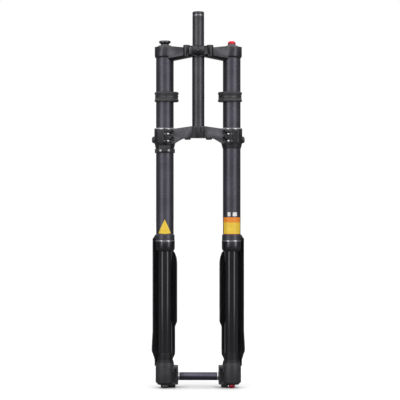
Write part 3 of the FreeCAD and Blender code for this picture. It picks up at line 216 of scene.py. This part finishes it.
# %% The black anodised and coated pieces
FINISHES["steerer_metal"] = finish(
    "steerer anodised", (0.088, 0.088, 0.095), (0.068, 0.068, 0.074), 0.95, 0.42,
    spread=0.05, stretch=TURNED, bump=0.05,
)
FINISHES["upper_tube_metal"] = finish(
    "upper tube anodised", (0.098, 0.094, 0.112), (0.078, 0.075, 0.090), 0.95, 0.43,
    spread=0.03, stretch=TURNED, bump=0.03,
)
FINISHES["crown_metal"] = finish(
    "forged crown", (0.074, 0.073, 0.080), (0.050, 0.050, 0.055), 0.90, 0.37,
    spread=0.05, cloud=40.0, grain=1400.0, bump=0.10,
)
FINISHES["collar_metal"] = finish(
    "collar anodised", (0.068, 0.067, 0.075), (0.044, 0.044, 0.049), 0.95, 0.27,
    spread=0.04, stretch=TURNED, bump=0.04,
)
FINISHES["inner_tube_metal"] = finish(
    "inner tube hard coat", (0.008, 0.008, 0.010), (0.005, 0.005, 0.006), 0.0, 0.15,
    spread=0.02, stretch=DRAWN, bump=0.01, coat=0.25, specular=0.4,
)
FINISHES["dropout_metal"] = finish(
    "cast dropout", (0.060, 0.060, 0.065), (0.042, 0.042, 0.046), 0.55, 0.44,
    spread=0.06, cloud=45.0, grain=1100.0, bump=0.16, above=(SOCKET_Z, SOCKET_BLACK),
)
FINISHES["axle_metal"] = finish(
    "axle anodised", (0.110, 0.104, 0.140), (0.080, 0.076, 0.104), 0.95, 0.22,
    spread=0.04, stretch=ALONG_AXLE, bump=0.04,
)
FINISHES["cap_metal"] = finish(
    "cap anodised", (0.150, 0.150, 0.155), (0.105, 0.105, 0.110), 0.95, 0.34,
    spread=0.04, stretch=TURNED, bump=0.05,
)
FINISHES["dark_bolt"] = finish(
    "black oxide bolt", (0.090, 0.088, 0.085), (0.055, 0.054, 0.052), 0.9, 0.36,
    spread=0.08, cloud=120.0, grain=2500.0, bump=0.10,
)
FINISHES["band_steel"] = finish(
    "blackened band", (0.100, 0.100, 0.106), (0.070, 0.070, 0.074), 0.95, 0.50,
    spread=0.05, stretch=TURNED, bump=0.05,
)
print(len(FINISHES), "dark metal finishes")

# %% The bright and coloured metals
# The clamp rims also take this silver, as a painted highlight on the dark chamfer of each clamp.
FINISHES["bare_metal"] = finish(
    "bare turned ring and painted rim highlight", (0.62, 0.62, 0.64), (0.48, 0.48, 0.50), 1.0, 0.28,
    spread=0.05, stretch=TURNED, bump=0.05,
)
FINISHES["bolt_steel"] = finish(
    "zinc bolt", (0.80, 0.80, 0.82), (0.62, 0.62, 0.64), 1.0, 0.30,
    spread=0.08, cloud=120.0, grain=2500.0, bump=0.08,
)
FINISHES["knob_red"] = finish(
    "red anodised knob", (0.72, 0.022, 0.060), (0.52, 0.012, 0.035), 0.75, 0.28,
    spread=0.05, cloud=90.0, grain=1500.0, bump=0.05, stretch=TURNED, coat=0.3,
)
FINISHES["cartridge_metal"] = finish(
    "cartridge tube", (0.70, 0.70, 0.73), (0.58, 0.58, 0.60), 1.0, 0.30,
    spread=0.05, stretch=TURNED, bump=0.04,
)
FINISHES["shaft_steel"] = finish(
    "polished shaft", (0.75, 0.75, 0.76), (0.62, 0.62, 0.63), 1.0, 0.14,
    spread=0.04, stretch=POLISHED, bump=0.02,
)
FINISHES["bushing_metal"] = finish(
    "bronze bushing", (0.52, 0.40, 0.20), (0.38, 0.28, 0.13), 0.9, 0.40,
    spread=0.06, cloud=80.0, grain=1200.0, bump=0.08,
)
FINISHES["piston_metal"] = finish(
    "turned piston", (0.72, 0.72, 0.75), (0.58, 0.58, 0.60), 1.0, 0.28,
    spread=0.05, stretch=TURNED, bump=0.05,
)
print(len(FINISHES), "finishes so far")

# %% Plastics and rubbers, and a finish on every CAD node
FINISHES["guard_plastic"] = finish(
    "moulded guard", (0.052, 0.052, 0.056), (0.038, 0.038, 0.041), 0.0, 0.36,
    spread=0.04, cloud=30.0, grain=1500.0, bump=0.01,
)
FINISHES["guide_plastic"] = finish(
    "guide moulding", (0.042, 0.042, 0.044), (0.028, 0.028, 0.030), 0.0, 0.44,
    spread=0.06, cloud=60.0, grain=1300.0, bump=0.12,
)
FINISHES["bumper_rubber"] = finish(
    "bumper rubber", (0.040, 0.040, 0.043), (0.026, 0.026, 0.028), 0.0, 0.50,
    spread=0.06, cloud=60.0, grain=1600.0, bump=0.15,
)
FINISHES["seal_rubber"] = finish(
    "seal rubber", (0.018, 0.018, 0.018), (0.011, 0.011, 0.011), 0.0, 0.48,
    spread=0.06, cloud=90.0, grain=1600.0, bump=0.10,
)
FINISHES["bumper_urethane"] = finish(
    "urethane ring", (0.72, 0.56, 0.22), (0.60, 0.44, 0.15), 0.0, 0.45,
    spread=0.06, cloud=80.0, grain=900.0, bump=0.08,
)
for part in frame["record"]["subparts"]:
    surface = NODES[part["node"]]
    surface.data.materials.clear()
    surface.data.materials.append(FINISHES[part["material_slot"]])
    for polygon in surface.data.polygons:
        polygon.material_index = 0

# %% [markdown]
# ## Rounded copies of the forged and cast pieces
#
# A forging has no sharp edge, and it is the thin bright line along each rounded edge that makes it read
# as metal. A CAD mesh can't be changed. The CAD edges are sharp, so a merged copy stands for the node,
# which is hidden: its doubled points are welded, and a Bevel modifier rounds each edge that turns by more
# than 30 degrees. Hardened normals keep the flat faces flat. Pieces with thin walls get a smaller radius,
# so the bevels never meet.

# %% The function that rounds a node's edges
WELD_DISTANCE = 1e-6
FLAT_ANGLE = math.radians(0.5)
EDGE_ANGLE = math.radians(30.0)
BEVEL_SEGMENTS = 3


def smooth_faces(mesh):
    """Marks every face of a mesh as smooth."""
    mesh.polygons.foreach_set("use_smooth", np.ones(len(mesh.polygons), dtype=bool))


def rounded(node, radius, body):
    """A welded copy of a CAD node, with its edges rounded to a radius in millimetres, that stands for it."""
    mesh = NODES[node].data.copy()
    mesh.name = f"{node}_rounded"
    shape = bmesh.new()
    shape.from_mesh(mesh)
    bmesh.ops.remove_doubles(shape, verts=shape.verts, dist=WELD_DISTANCE)
    bmesh.ops.dissolve_limit(
        shape, angle_limit=FLAT_ANGLE, verts=shape.verts, edges=shape.edges, delimit={"NORMAL"},
    )
    bmesh.ops.recalc_face_normals(shape, faces=shape.faces)
    shape.to_mesh(mesh)
    shape.free()
    smooth_faces(mesh)
    piece = bpy.data.objects.new(f"{node}_rounded", mesh)
    bpy.context.scene.collection.objects.link(piece)
    bevel = piece.modifiers.new("Round edges", "BEVEL")
    bevel.width = radius * MM
    bevel.segments = BEVEL_SEGMENTS
    bevel.limit_method = "ANGLE"
    bevel.angle_limit = EDGE_ANGLE
    bevel.use_clamp_overlap = True
    bevel.harden_normals = True
    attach(piece, body)
    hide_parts(node)
    return piece


print("rounding function ready")

# %% Round the forged, cast and turned pieces
ROUNDED = {
    "lower_crown": (1.1, "chassis", "crown_metal"),
    "top_crown": (1.1, "chassis", "crown_metal"),
    "left_dropout": (1.0, "lower_legs", "dropout_metal"),
    "right_dropout": (1.0, "lower_legs", "dropout_metal"),
    "hose_guide_clamp": (0.4, "chassis", "guide_plastic"),
    "compression_knob": (0.35, "compression_adjuster", "knob_red"),
    "rebound_knob": (0.35, "rebound_adjuster", "knob_red"),
    "left_frame_bumper": (0.8, "chassis", "bumper_rubber"),
    "right_frame_bumper": (0.8, "chassis", "bumper_rubber"),
    "left_seal_collar": (0.5, "chassis", "collar_metal"),
    "right_seal_collar": (0.5, "chassis", "collar_metal"),
    "air_valve_cap": (0.5, "valve_cap", "cap_metal"),
    "air_top_cap": (0.4, "chassis", "cap_metal"),
    "damper_top_cap": (0.4, "chassis", "cap_metal"),
    "left_foot_bolt": (0.4, "lower_legs", "cap_metal"),
    "through_axle": (0.4, "axle", "axle_metal"),
    "crown_side_plugs": (0.5, "chassis", "bumper_rubber"),
    "lower_crown_bolts": (0.25, "chassis", "bolt_steel"),
    "top_crown_bolts": (0.25, "chassis", "bolt_steel"),
    "hose_guide_screws": (0.2, "chassis", "bolt_steel"),
    "axle_pinch_bolts": (0.25, "lower_legs", "dark_bolt"),
    "guard_screws": (0.25, "lower_legs", "dark_bolt"),
}
for node, (radius, body, slot) in ROUNDED.items():
    piece = rounded(node, radius, body)
    print(piece.name, len(piece.data.polygons), "faces before the bevel")

# %% [markdown]
# ## Surfaces from two parameters
#
# Every new piece below is a grid of points: one parameter runs along the rows and one along the columns.
# numpy works the whole grid out at once, and the faces follow from the row and column numbers alone. The
# columns close on themselves. A strip of faces at each end, which joins the two halves of the last row
# like a zip, makes the grid a closed solid. It works for a thin curved wall too, where a fan of triangles
# would cross the hollow.

# %% The grid function
CREASE_ANGLE = math.radians(35.0)


def grid_piece(name, points, material, body, fold=None):
    """A mesh from a (rows, columns, 3) array of points whose columns close on themselves.

    Face (i, j) joins points (i, j), (i, j+1), (i+1, j+1) and (i+1, j). With a fold, each end is closed by a
    strip that joins the columns before the fold to those after it. Without one, the last row lies on the
    first, and the two are welded.
    """
    rows, columns, _ = points.shape
    index = np.arange(rows * columns).reshape(rows, columns)
    beside = np.roll(index, -1, axis=1)
    faces = np.stack([index[:-1], beside[:-1], beside[1:], index[1:]], axis=-1).reshape(-1, 4).tolist()
    if fold is not None:
        step = np.arange(columns // 2)
        before = (fold - step) % columns
        after = (fold + 1 + step) % columns
        for row in (index[0], index[-1]):
            strip = np.stack([row[before[:-1]], row[before[1:]], row[after[1:]], row[after[:-1]]], axis=-1)
            faces += strip.tolist()
    mesh = bpy.data.meshes.new(name)
    mesh.from_pydata(points.reshape(-1, 3).tolist(), [], faces)
    shape = bmesh.new()
    shape.from_mesh(mesh)
    bmesh.ops.remove_doubles(shape, verts=shape.verts, dist=WELD_DISTANCE)
    bmesh.ops.recalc_face_normals(shape, faces=shape.faces)
    shape.to_mesh(mesh)
    shape.free()
    smooth_faces(mesh)
    mesh.set_sharp_from_angle(angle=CREASE_ANGLE)
    mesh.materials.append(material)
    piece = bpy.data.objects.new(name, mesh)
    bpy.context.scene.collection.objects.link(piece)
    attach(piece, body)
    return piece


print("grid function ready")

# %% [markdown]
# ## Tube guards
#
# A guard is a moulded plastic shell in front of the inner tube. Seen from above it is a little more than
# half a circle. Its wall is drawn as one closed loop: out along the outer face, round a soft lip, back
# along the inner face and round the other lip. The loop is carried from the foot to the top, while its
# radius follows a profile with a flare above the foot. The top edge slopes down towards the wheel, so the
# height of each point depends on where it is round the loop. Two shallow ribs run down the outer face, as
# on most mouldings of this length.

# %% Sizes of the guard, in millimetres
GUARD_WALL = 2.5
GUARD_INSET = 0.4
GUARD_FOOT_Z = -589.0
GUARD_HALF_ANGLE = math.radians(98.0)
GUARD_PROFILE_Z = [-589.0, -574.0, -560.0, -553.0, -543.0, -525.0, -503.0, -300.0, -264.5]
GUARD_PROFILE_R = [25.9, 25.9, 30.2, 33.2, 33.2, 32.2, 31.0, 31.0, 31.0]
TOP_RADIUS = 31.0
TOP_X = [-31.5, -31.0, -29.5, -26.0, -21.0, -11.0, 21.0, 26.0, 30.0, 31.5]
TOP_Z = [-333.0, -333.0, -321.0, -311.0, -305.0, -300.0, -264.6, -266.5, -273.5, -273.5]
REACH_Z = [-589.0, -574.0, -562.0, -493.0, -481.0, -470.0]
REACH_X = [15.5, 19.5, 25.5, 25.5, 30.6, 34.0]
FULL_REACH = 0.999
LIP_HALF = GUARD_WALL / 2 - 0.05
LIP_ARM = 30.0
LIP_SETBACK = 0.04
RIB_HEIGHT = 0.35
RIB_ANGLE = 1.05
RIB_SPREAD = 0.035
RIB_START_Z = -545.0
RIB_START_RUN = 20.0
RIB_END_DROP = 12.0
RIB_END_RUN = 15.0
TOP_ROUND = 1.2
TOP_THINNING = 0.8
WALL_STEPS = 72
LIP_STEPS = 6
GUARD_ROWS = 110
ROW_CROWDING = 0.97
print("the guard is", GUARD_PROFILE_Z[-1] - GUARD_FOOT_Z, "mm high")

# %% Build the two guards


def wall_loop():
    """The loop round the guard's wall, as three arrays over its columns.

    turn runs -1 to 1 along the outer face and back along the inner one. out is 1 outside, -1 inside, and the
    cosine of the lip's own half circle at the lips. bulge is the sine of that half circle, and zero on the
    faces.
    """
    face = np.linspace(-1.0, 1.0, WALL_STEPS)
    lip = np.linspace(0.0, math.pi, LIP_STEPS + 2)[1:-1]
    none = np.zeros(WALL_STEPS)
    turn = np.concatenate([face, np.full(LIP_STEPS, 1.0), face[::-1], np.full(LIP_STEPS, -1.0)])
    out = np.concatenate([none + 1.0, np.cos(lip), none - 1.0, -np.cos(lip)])
    bulge = np.concatenate([none, np.sin(lip), none, -np.sin(lip)])
    return turn, out, bulge


def build_guard(name, side):
    """The guard's shell. Row parameter: share v of the height. Column parameter: place s round the loop.

    A point is at angle a(s, v), radius middle(z) + out(s) * half a wall + rib(a, z), and height
    z = foot + v (top(s) - foot). The half towards the wheel is drawn in where the shell has to stay narrow:
    its angles are multiplied by arcsin(reach(z) / R(z)) / half angle. The rib is a bell curve of the angle.
    """
    turn, out, bulge = wall_loop()
    flat = turn[None, :] * GUARD_HALF_ANGLE
    top = np.interp(TOP_RADIUS * np.sin(flat) * side, TOP_X, TOP_Z)
    share = np.linspace(0.0, 1.0, GUARD_ROWS)[:, None] ** ROW_CROWDING
    z = GUARD_FOOT_Z + share * (top - GUARD_FOOT_Z)
    outer = np.interp(z, GUARD_PROFILE_Z, GUARD_PROFILE_R)
    reach = np.minimum(np.interp(z, REACH_Z, REACH_X) / outer, 1.0)
    inner_end = np.where(reach < FULL_REACH, np.arcsin(reach), GUARD_HALF_ANGLE)
    draw_in = np.minimum(inner_end, GUARD_HALF_ANGLE) / GUARD_HALF_ANGLE
    angle = np.where(flat * side < 0, flat * draw_in, flat)
    angle = angle + bulge[None, :] * LIP_HALF / LIP_ARM - np.sign(bulge)[None, :] * LIP_SETBACK
    rib = RIB_HEIGHT * np.exp(-((np.abs(angle) - RIB_ANGLE) / RIB_SPREAD) ** 2)
    rib = rib * np.clip((z - RIB_START_Z) / RIB_START_RUN, 0.0, 1.0)
    rib = rib * np.clip((top - z - RIB_END_DROP) / RIB_END_RUN, 0.0, 1.0)
    thickness = 1.0 - TOP_THINNING * (1.0 - np.clip((top - z) / TOP_ROUND, 0.0, 1.0)) ** 2
    middle = outer - GUARD_INSET - GUARD_WALL / 2
    radius = middle + out[None, :] * GUARD_WALL / 2 * thickness + np.where(out[None, :] > 0, rib, 0.0)
    points = np.stack([radius * np.sin(angle), radius * np.cos(angle), z], axis=-1) * MM
    points = points + np.array([side * LEG_X, LEG_Y, 0.0])
    piece = grid_piece(
        f"{name}_guard_shell", points, FINISHES["guard_plastic"], "lower_legs",
        fold=WALL_STEPS + LIP_STEPS // 2 - 1,
    )
    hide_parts(f"{name}_guard")
    return piece


for name, side in SIDES.items():
    shell = build_guard(name, side)
    print(shell.name, len(shell.data.polygons), "faces")

# %% [markdown]
# ## Rings and rims
#
# Some of the brightest lines on the fork are very small: the fine line scribed round the steerer, the beads
# of the bands round the rubber rings and the bare ends of the axle's barrel. The ring on top of each clamp is
# a
# painted highlight: bare silver metal that stands for the light the dark anodised chamfer catches from above.
# Each is one closed outline of a few millimetres, carried round an axis. A clamp's rim stops at its slit.

# %% Carry an outline round an axis
OUTLINE_ROUND = 0.15
SIDE_SHARE = 0.45
ROUND_STEPS = 4
ARC_STEPS = 96


def smooth_profile(corners):
    """Rounds the corners of a closed outline. Each corner becomes a short quadratic curve.

    The curve through corner c, from a to b at the given distance along both sides, is
    (1-t)^2 a + 2t(1-t) c + t^2 b.
    """
    corners = np.asarray(corners, dtype=float)
    before = np.roll(corners, 1, axis=0) - corners
    after = np.roll(corners, -1, axis=0) - corners
    length_before = np.linalg.norm(before, axis=1, keepdims=True)
    length_after = np.linalg.norm(after, axis=1, keepdims=True)
    start = corners + before * np.minimum(OUTLINE_ROUND / length_before, SIDE_SHARE)
    end = corners + after * np.minimum(OUTLINE_ROUND / length_after, SIDE_SHARE)
    t = np.linspace(0.0, 1.0, ROUND_STEPS)[None, :, None]
    curve = (1 - t) ** 2 * start[:, None] + 2 * t * (1 - t) * corners[:, None] + t**2 * end[:, None]
    return curve.reshape(-1, 2)


def swept_arc(name, profile, place, slot, body, start=0.0, end=360.0, axis="Z"):
    """A closed outline of (radius, height) in millimetres carried round an axis, from one angle to another.

    Point (i, j) is (r_j cos a_i, r_j sin a_i, h_j) + place for a vertical axis. For the X axis the height
    runs along X instead: (h_j, r_j cos a_i, r_j sin a_i) + place.
    """
    profile = smooth_profile(profile)
    angles = np.linspace(math.radians(start), math.radians(end), ARC_STEPS)[:, None]
    across = profile[None, :, 0] * np.cos(angles)
    along = profile[None, :, 0] * np.sin(angles)
    height = np.broadcast_to(profile[None, :, 1], across.shape)
    parts = (across, along, height) if axis == "Z" else (height, across, along)
    points = np.stack(parts, axis=-1) * MM + np.asarray(place)
    fold = None if end - start >= 360.0 else len(profile) // 2 - 1
    return grid_piece(name, points, FINISHES[slot], body, fold=fold)


print("sweep ready")

# %% Clamp rims painted as highlights, and the line round the steerer
SLIT_ANGLE = 2.6
BEHIND = -90.0
HIGHLIGHT_RIM_PROFILE = [(21.85, -6.0), (26.05, -6.0), (26.05, -4.6), (24.9, -3.0), (21.85, -3.0)]
LINE_PROFILE = [(13.7, 271.1), (14.15, 271.1), (14.15, 272.4), (13.7, 272.4)]
# The clamp rims are bare silver metal: a painted highlight for the light that the dark chamfer on top of each
# clamp catches.
for name, side in SIDES.items():
    highlight_rim = swept_arc(
        f"{name}_clamp_highlight_rim", HIGHLIGHT_RIM_PROFILE, (side * LEG_X, LEG_Y, 0.0), "bare_metal", "chassis",
        start=BEHIND + SLIT_ANGLE, end=BEHIND + 360.0 - SLIT_ANGLE,
    )
    print(highlight_rim.name, len(highlight_rim.data.polygons), "faces")
line = swept_arc("steerer_scribed_line", LINE_PROFILE, (0.0, 0.0, 0.0), "bare_metal", "chassis")
print(line.name, len(line.data.polygons), "faces")

# %% Bands round the rubber rings
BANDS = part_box("bumper_bands")
BAND_X = 78.2
BAND_R = BANDS[1][0] / MM - BAND_X
BAND_Y = (BANDS[0][1] + BANDS[1][1]) / 2
BAND_Z = (BANDS[0][2] + BANDS[1][2]) / 2 / MM
UPPER_BEAD = [(0.55, 1.8), (0.1, 2.1), (0.0, 2.6), (0.1, 3.0), (0.9, 3.0)]
LOWER_BEAD = [(depth, -height) for depth, height in reversed(UPPER_BEAD)]
BAND_PROFILE = [(BAND_R - depth, BAND_Z + height) for depth, height in LOWER_BEAD + UPPER_BEAD]
band_pieces = [
    swept_arc(
        f"{name}_bumper_band", BAND_PROFILE, (side * BAND_X * MM, BAND_Y, 0.0), "band_steel", "chassis",
    )
    for name, side in SIDES.items()
]
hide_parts("bumper_bands")
print("band radius", BAND_R, "at height", BAND_Z)

# %% Sleeves and marks on the axle
AXLE_PLACE = (0.0, centre("through_axle", 1), centre("through_axle", 2))
AXLE_INSIDE_R = 9.8
SLEEVE_R = 10.04
SLEEVE_FROM, SLEEVE_TO = 46.6, 50.4
MARK_R = 10.03
MARK_WIDTH = 1.1
MARKS = (-43.6, -41.0, -36.4)


def axle_ring(name, radius, start, end, slot):
    """A thin ring on the axle's barrel, between two places along X."""
    outline = [(AXLE_INSIDE_R, start), (radius, start), (radius, end), (AXLE_INSIDE_R, end)]
    return swept_arc(name, outline, AXLE_PLACE, slot, "axle", axis="X")


for name, side in SIDES.items():
    start, end = sorted((side * SLEEVE_FROM, side * SLEEVE_TO))
    axle_ring(f"{name}_axle_sleeve", SLEEVE_R, start, end, "bolt_steel")
for number, at in enumerate(MARKS, start=1):
    axle_ring(f"axle_mark_{number}", MARK_R, at, at + MARK_WIDTH, "seal_rubber")
print("axle rings at", AXLE_PLACE)

# %% [markdown]
# ## Blank stickers
#
# The stickers on the upper tubes are thin vinyl, so each is a sheet of 0.12 mm wrapped round the tube: an
# outer arc, a tiny edge and an inner arc make one closed loop, and the loop is carried up the tube. Its
# width may change with height, which makes the triangle. They carry no letters: the panel only has a
# deeper header, a thin border and ruled lines, worked out in its material from the height.

# %% A sheet wrapped round the tube
TUBE_R = 21.75
VINYL = 0.12
GLUE = 0.01
STICKER_STEPS = 40


def sticker(name, side, bottom, top, half_width, material, shift=0.0):
    """A thin patch on the rear of an upper tube. half_width(z) is half of its width along the tube's skin.

    A point is at r(s) and angle (shift + t(s) * half_width(z)) / tube radius from straight behind, at height
    z, where t runs -1 to 1 on the outer arc and back on the inner one.
    """
    arc = np.linspace(-1.0, 1.0, STICKER_STEPS)
    turn = np.concatenate([arc, arc[::-1]])
    skin = np.repeat([TUBE_R + VINYL, TUBE_R + GLUE], STICKER_STEPS)
    z = np.linspace(bottom, top, STICKER_STEPS)[:, None]
    angle = (shift + turn[None, :] * half_width(z)) / TUBE_R
    radius = np.broadcast_to(skin[None, :], angle.shape)
    height = np.broadcast_to(z, angle.shape)
    points = np.stack([radius * np.sin(angle), -radius * np.cos(angle), height], axis=-1) * MM
    points = points + np.array([side * LEG_X, LEG_Y, 0.0])
    return grid_piece(name, points, material, "chassis", fold=STICKER_STEPS - 1)


def rounded_panel(bottom, top, half, corner):
    """The half width of a panel with round corners: half - c + sqrt(c^2 - d^2), d the depth into a corner."""
    def width(z):
        depth = np.clip(corner - np.minimum(z - bottom, top - z), 0.0, corner)
        return half - corner + np.sqrt(np.maximum(corner**2 - depth**2, 0.0))
    return width


print("stickers are", VINYL, "mm thick")

# %% Printed vinyl
INK_EDGE = 0.2 * MM
BORDER_EDGE = 0.3 * MM
WORN_SHADE = 0.88
RULE_SHADE = 0.55
RULE_SPAN = (0.75, 0.95)
RULE_SHARE = 0.35
VINYL_ROUGHNESS = (0.36, 0.46)


def vinyl(name, base, header=None, header_from=1.0, border_to=-1.0, ruling=0.0):
    """Printed vinyl: a base colour with faint ruled lines, and a second ink for the header and the border.

    Heights are in metres. The lines are the crests of a sine of the height, and ruling is its rate.
    """
    ink = header or base
    material = bpy.data.materials.new(name)
    material.use_nodes = True
    tree = material.node_tree
    shader = tree.nodes["Principled BSDF"]
    coordinates = tree.nodes.new("ShaderNodeTexCoord").outputs["Object"]
    split = tree.nodes.new("ShaderNodeSeparateXYZ")
    tree.links.new(coordinates, split.inputs["Vector"])
    height = split.outputs["Z"]
    fade = noise(tree, coordinates, 60.0, 3.0)
    worn = mix(tree, ramp(tree, fade, STREAK_SPAN), base, tuple(WORN_SHADE * v for v in base))
    scaled = tree.nodes.new("ShaderNodeMath")
    scaled.operation = "MULTIPLY"
    scaled.inputs[1].default_value = ruling
    tree.links.new(height, scaled.inputs[0])
    wave = tree.nodes.new("ShaderNodeMath")
    wave.operation = "SINE"
    tree.links.new(scaled.outputs[0], wave.inputs[0])
    lines = ramp(tree, wave.outputs[0], RULE_SPAN, (0.0, RULE_SHARE))
    ruled = mix(tree, lines, worn, tuple(RULE_SHADE * v for v in base))
    headed = ramp(tree, height, (header_from - INK_EDGE, header_from + INK_EDGE))
    bordered = ramp(tree, height, (border_to, border_to + BORDER_EDGE), (1.0, 0.0))
    colour = mix(tree, bordered, mix(tree, headed, ruled, ink), ink)
    tree.links.new(colour, shader.inputs["Base Color"])
    tree.links.new(ramp(tree, fade, STREAK_SPAN, VINYL_ROUGHNESS), shader.inputs["Roughness"])
    return material


YELLOW = (0.92, 0.62, 0.05)
ORANGE = (0.85, 0.26, 0.02)
WHITE = (0.82, 0.82, 0.80)
panel_ink = vinyl("yellow panel", YELLOW, ORANGE, header_from=-0.2352, border_to=-0.2630, ruling=2100.0)
triangle_ink = vinyl("yellow triangle", YELLOW)
white_ink = vinyl("white patch", WHITE)
print("three inks ready")

# %% Place the stickers
TRIANGLE_FOOT, TRIANGLE_TOP = -263.3, -228.5
TRIANGLE_RUN = 34.5
TRIANGLE_TIP = 0.5
TRIANGLE_SPREAD = 16.6
FOOT_ROUND = 1.6
FOOT_BLUNT = 0.1
PANEL = (-263.8, -222.5)
PANEL_HALF, PANEL_CORNER = 25.5, 1.5
PATCH = (-220.0, -210.0)
PATCH_CORNER = 1.2
PATCHES = ((3.7, -7.2), (5.6, 7.6))


def triangle_width(z):
    """The half width of the triangle: straight sides, with a small round at the tip and at the foot."""
    share = np.clip((TRIANGLE_TOP - z) / TRIANGLE_RUN, 0.0, 1.0)
    foot = np.sqrt(np.clip((z - TRIANGLE_FOOT + FOOT_BLUNT) / FOOT_ROUND, 0.0, 1.0))
    return (TRIANGLE_TIP + TRIANGLE_SPREAD * share) * foot


sticker("left_triangle_sticker", -1, TRIANGLE_FOOT, TRIANGLE_TOP, triangle_width, triangle_ink)
panel_width = rounded_panel(*PANEL, PANEL_HALF, PANEL_CORNER)
sticker("right_panel_sticker", 1, *PANEL, panel_width, panel_ink)
for number, (half, shift) in enumerate(PATCHES, start=1):
    patch_width = rounded_panel(*PATCH, half, PATCH_CORNER)
    sticker(f"right_white_patch_{number}", 1, *PATCH, patch_width, white_ink, shift)
print("four stickers placed")

# %% [markdown]
# ## Camera, floor and light
#
# The fork is seen straight from behind, at mid height. The camera sees a white world, but the light of
# that world comes from above only and is dim near the horizon, as in a studio with dark flags round the
# table. So the upright tubes have dark edges. Two tall soft boxes stand left and right of the camera,
# about 42 degrees off its line, so each glossy tube shows two soft lines with darker metal between them.

# %% A pale floor
FLOOR_Z = CAD_BOX[0][2]
FLOOR_HALF = 30.0
FLOOR_LOW = (0.93, 0.93, 0.93)
FLOOR_HIGH = (0.96, 0.96, 0.96)
FLOOR_BOUNCE = (0.16, 0.16, 0.17)
FLOOR_ROUGHNESS = 0.9


def floor_finish():
    """A pale floor with a very faint drift in its shade. It sends little light back up at the fork."""
    material = bpy.data.materials.new("pale floor")
    material.use_nodes = True
    tree = material.node_tree
    shader = tree.nodes["Principled BSDF"]
    coordinates = tree.nodes.new("ShaderNodeTexCoord").outputs["Object"]
    pale = mix(tree, noise(tree, coordinates, 0.8, 2.0), FLOOR_LOW, FLOOR_HIGH)
    seen = tree.nodes.new("ShaderNodeLightPath").outputs["Is Camera Ray"]
    tree.links.new(mix(tree, seen, FLOOR_BOUNCE, pale), shader.inputs["Base Color"])
    shader.inputs["Roughness"].default_value = FLOOR_ROUGHNESS
    return material


corners = [(-1, -1), (1, -1), (1, 1), (-1, 1)]
floor_mesh = bpy.data.meshes.new("floor")
floor_mesh.from_pydata([(x * FLOOR_HALF, y * FLOOR_HALF, FLOOR_Z) for x, y in corners], [], [(0, 1, 2, 3)])
floor_mesh.materials.append(floor_finish())
floor = bpy.data.objects.new("floor", floor_mesh)
bpy.context.scene.collection.objects.link(floor)
print("floor at", FLOOR_Z)

# %% The world's light
DOME_SPAN, DOME_LIGHT = (0.10, 0.55), (0.10, 1.25)
FRONT_SPAN, FRONT_LIGHT = (-0.95, -0.35), (0.42, 0.0)
bpy.context.scene.view_settings.view_transform = "Standard"
world = bpy.data.worlds.new("white studio")
bpy.context.scene.world = world
world.use_nodes = True
sky = world.node_tree
background = sky.nodes["Background"]
direction = sky.nodes.new("ShaderNodeSeparateXYZ")
sky.links.new(sky.nodes.new("ShaderNodeTexCoord").outputs["Generated"], direction.inputs["Vector"])
total = sky.nodes.new("ShaderNodeMath")
total.operation = "ADD"
sky.links.new(ramp(sky, direction.outputs["Z"], DOME_SPAN, DOME_LIGHT), total.inputs[0])
sky.links.new(ramp(sky, direction.outputs["Y"], FRONT_SPAN, FRONT_LIGHT), total.inputs[1])
choose = sky.nodes.new("ShaderNodeMix")
choose.data_type = "FLOAT"
sky.links.new(sky.nodes.new("ShaderNodeLightPath").outputs["Is Camera Ray"], choose.inputs["Factor"])
sky.links.new(total.outputs[0], choose.inputs[2])
choose.inputs[3].default_value = 1.0
sky.links.new(choose.outputs[0], background.inputs["Strength"])
background.inputs["Color"].default_value = (1.0, 1.0, 1.0, 1.0)
print("world ready")

# %% Two soft boxes
BOX_X, BOX_Y, BOX_Z = 1.6, -1.7, 0.2
BOX_AIM = (0.0, 0.0, -0.2)
BOX_WIDTH, BOX_HEIGHT = 0.8, 2.2
BOX_POWER = 16.0


def soft_box(name, place):
    """A tall area light at a place, turned towards the middle of the fork."""
    light = bpy.data.lights.new(name, "AREA")
    light.shape = "RECTANGLE"
    light.size = BOX_WIDTH
    light.size_y = BOX_HEIGHT
    light.energy = BOX_POWER
    lamp = bpy.data.objects.new(name, light)
    lamp.location = place
    x, y, z = np.asarray(BOX_AIM) - np.asarray(place)
    lamp.rotation_euler = (math.atan2(math.hypot(x, y), -z), 0.0, math.atan2(x, -y) + math.pi)
    bpy.context.scene.collection.objects.link(lamp)
    return lamp


for name, side in SIDES.items():
    print(soft_box(f"{name} box", (side * BOX_X, BOX_Y, BOX_Z)).name)

# %% The camera
CAMERA_PLACE = (0.0042, -3.6, -0.18)
CAMERA_LENS = 132.3
CAMERA_SENSOR = 36.0
camera_data = bpy.data.cameras.new("camera")
camera_data.sensor_width = CAMERA_SENSOR
camera_data.lens = CAMERA_LENS
camera = bpy.data.objects.new("camera", camera_data)
camera.location = CAMERA_PLACE
camera.rotation_euler = (math.pi / 2, 0.0, 0.0)
bpy.context.scene.collection.objects.link(camera)
bpy.context.scene.camera = camera
print("camera at", CAMERA_PLACE)
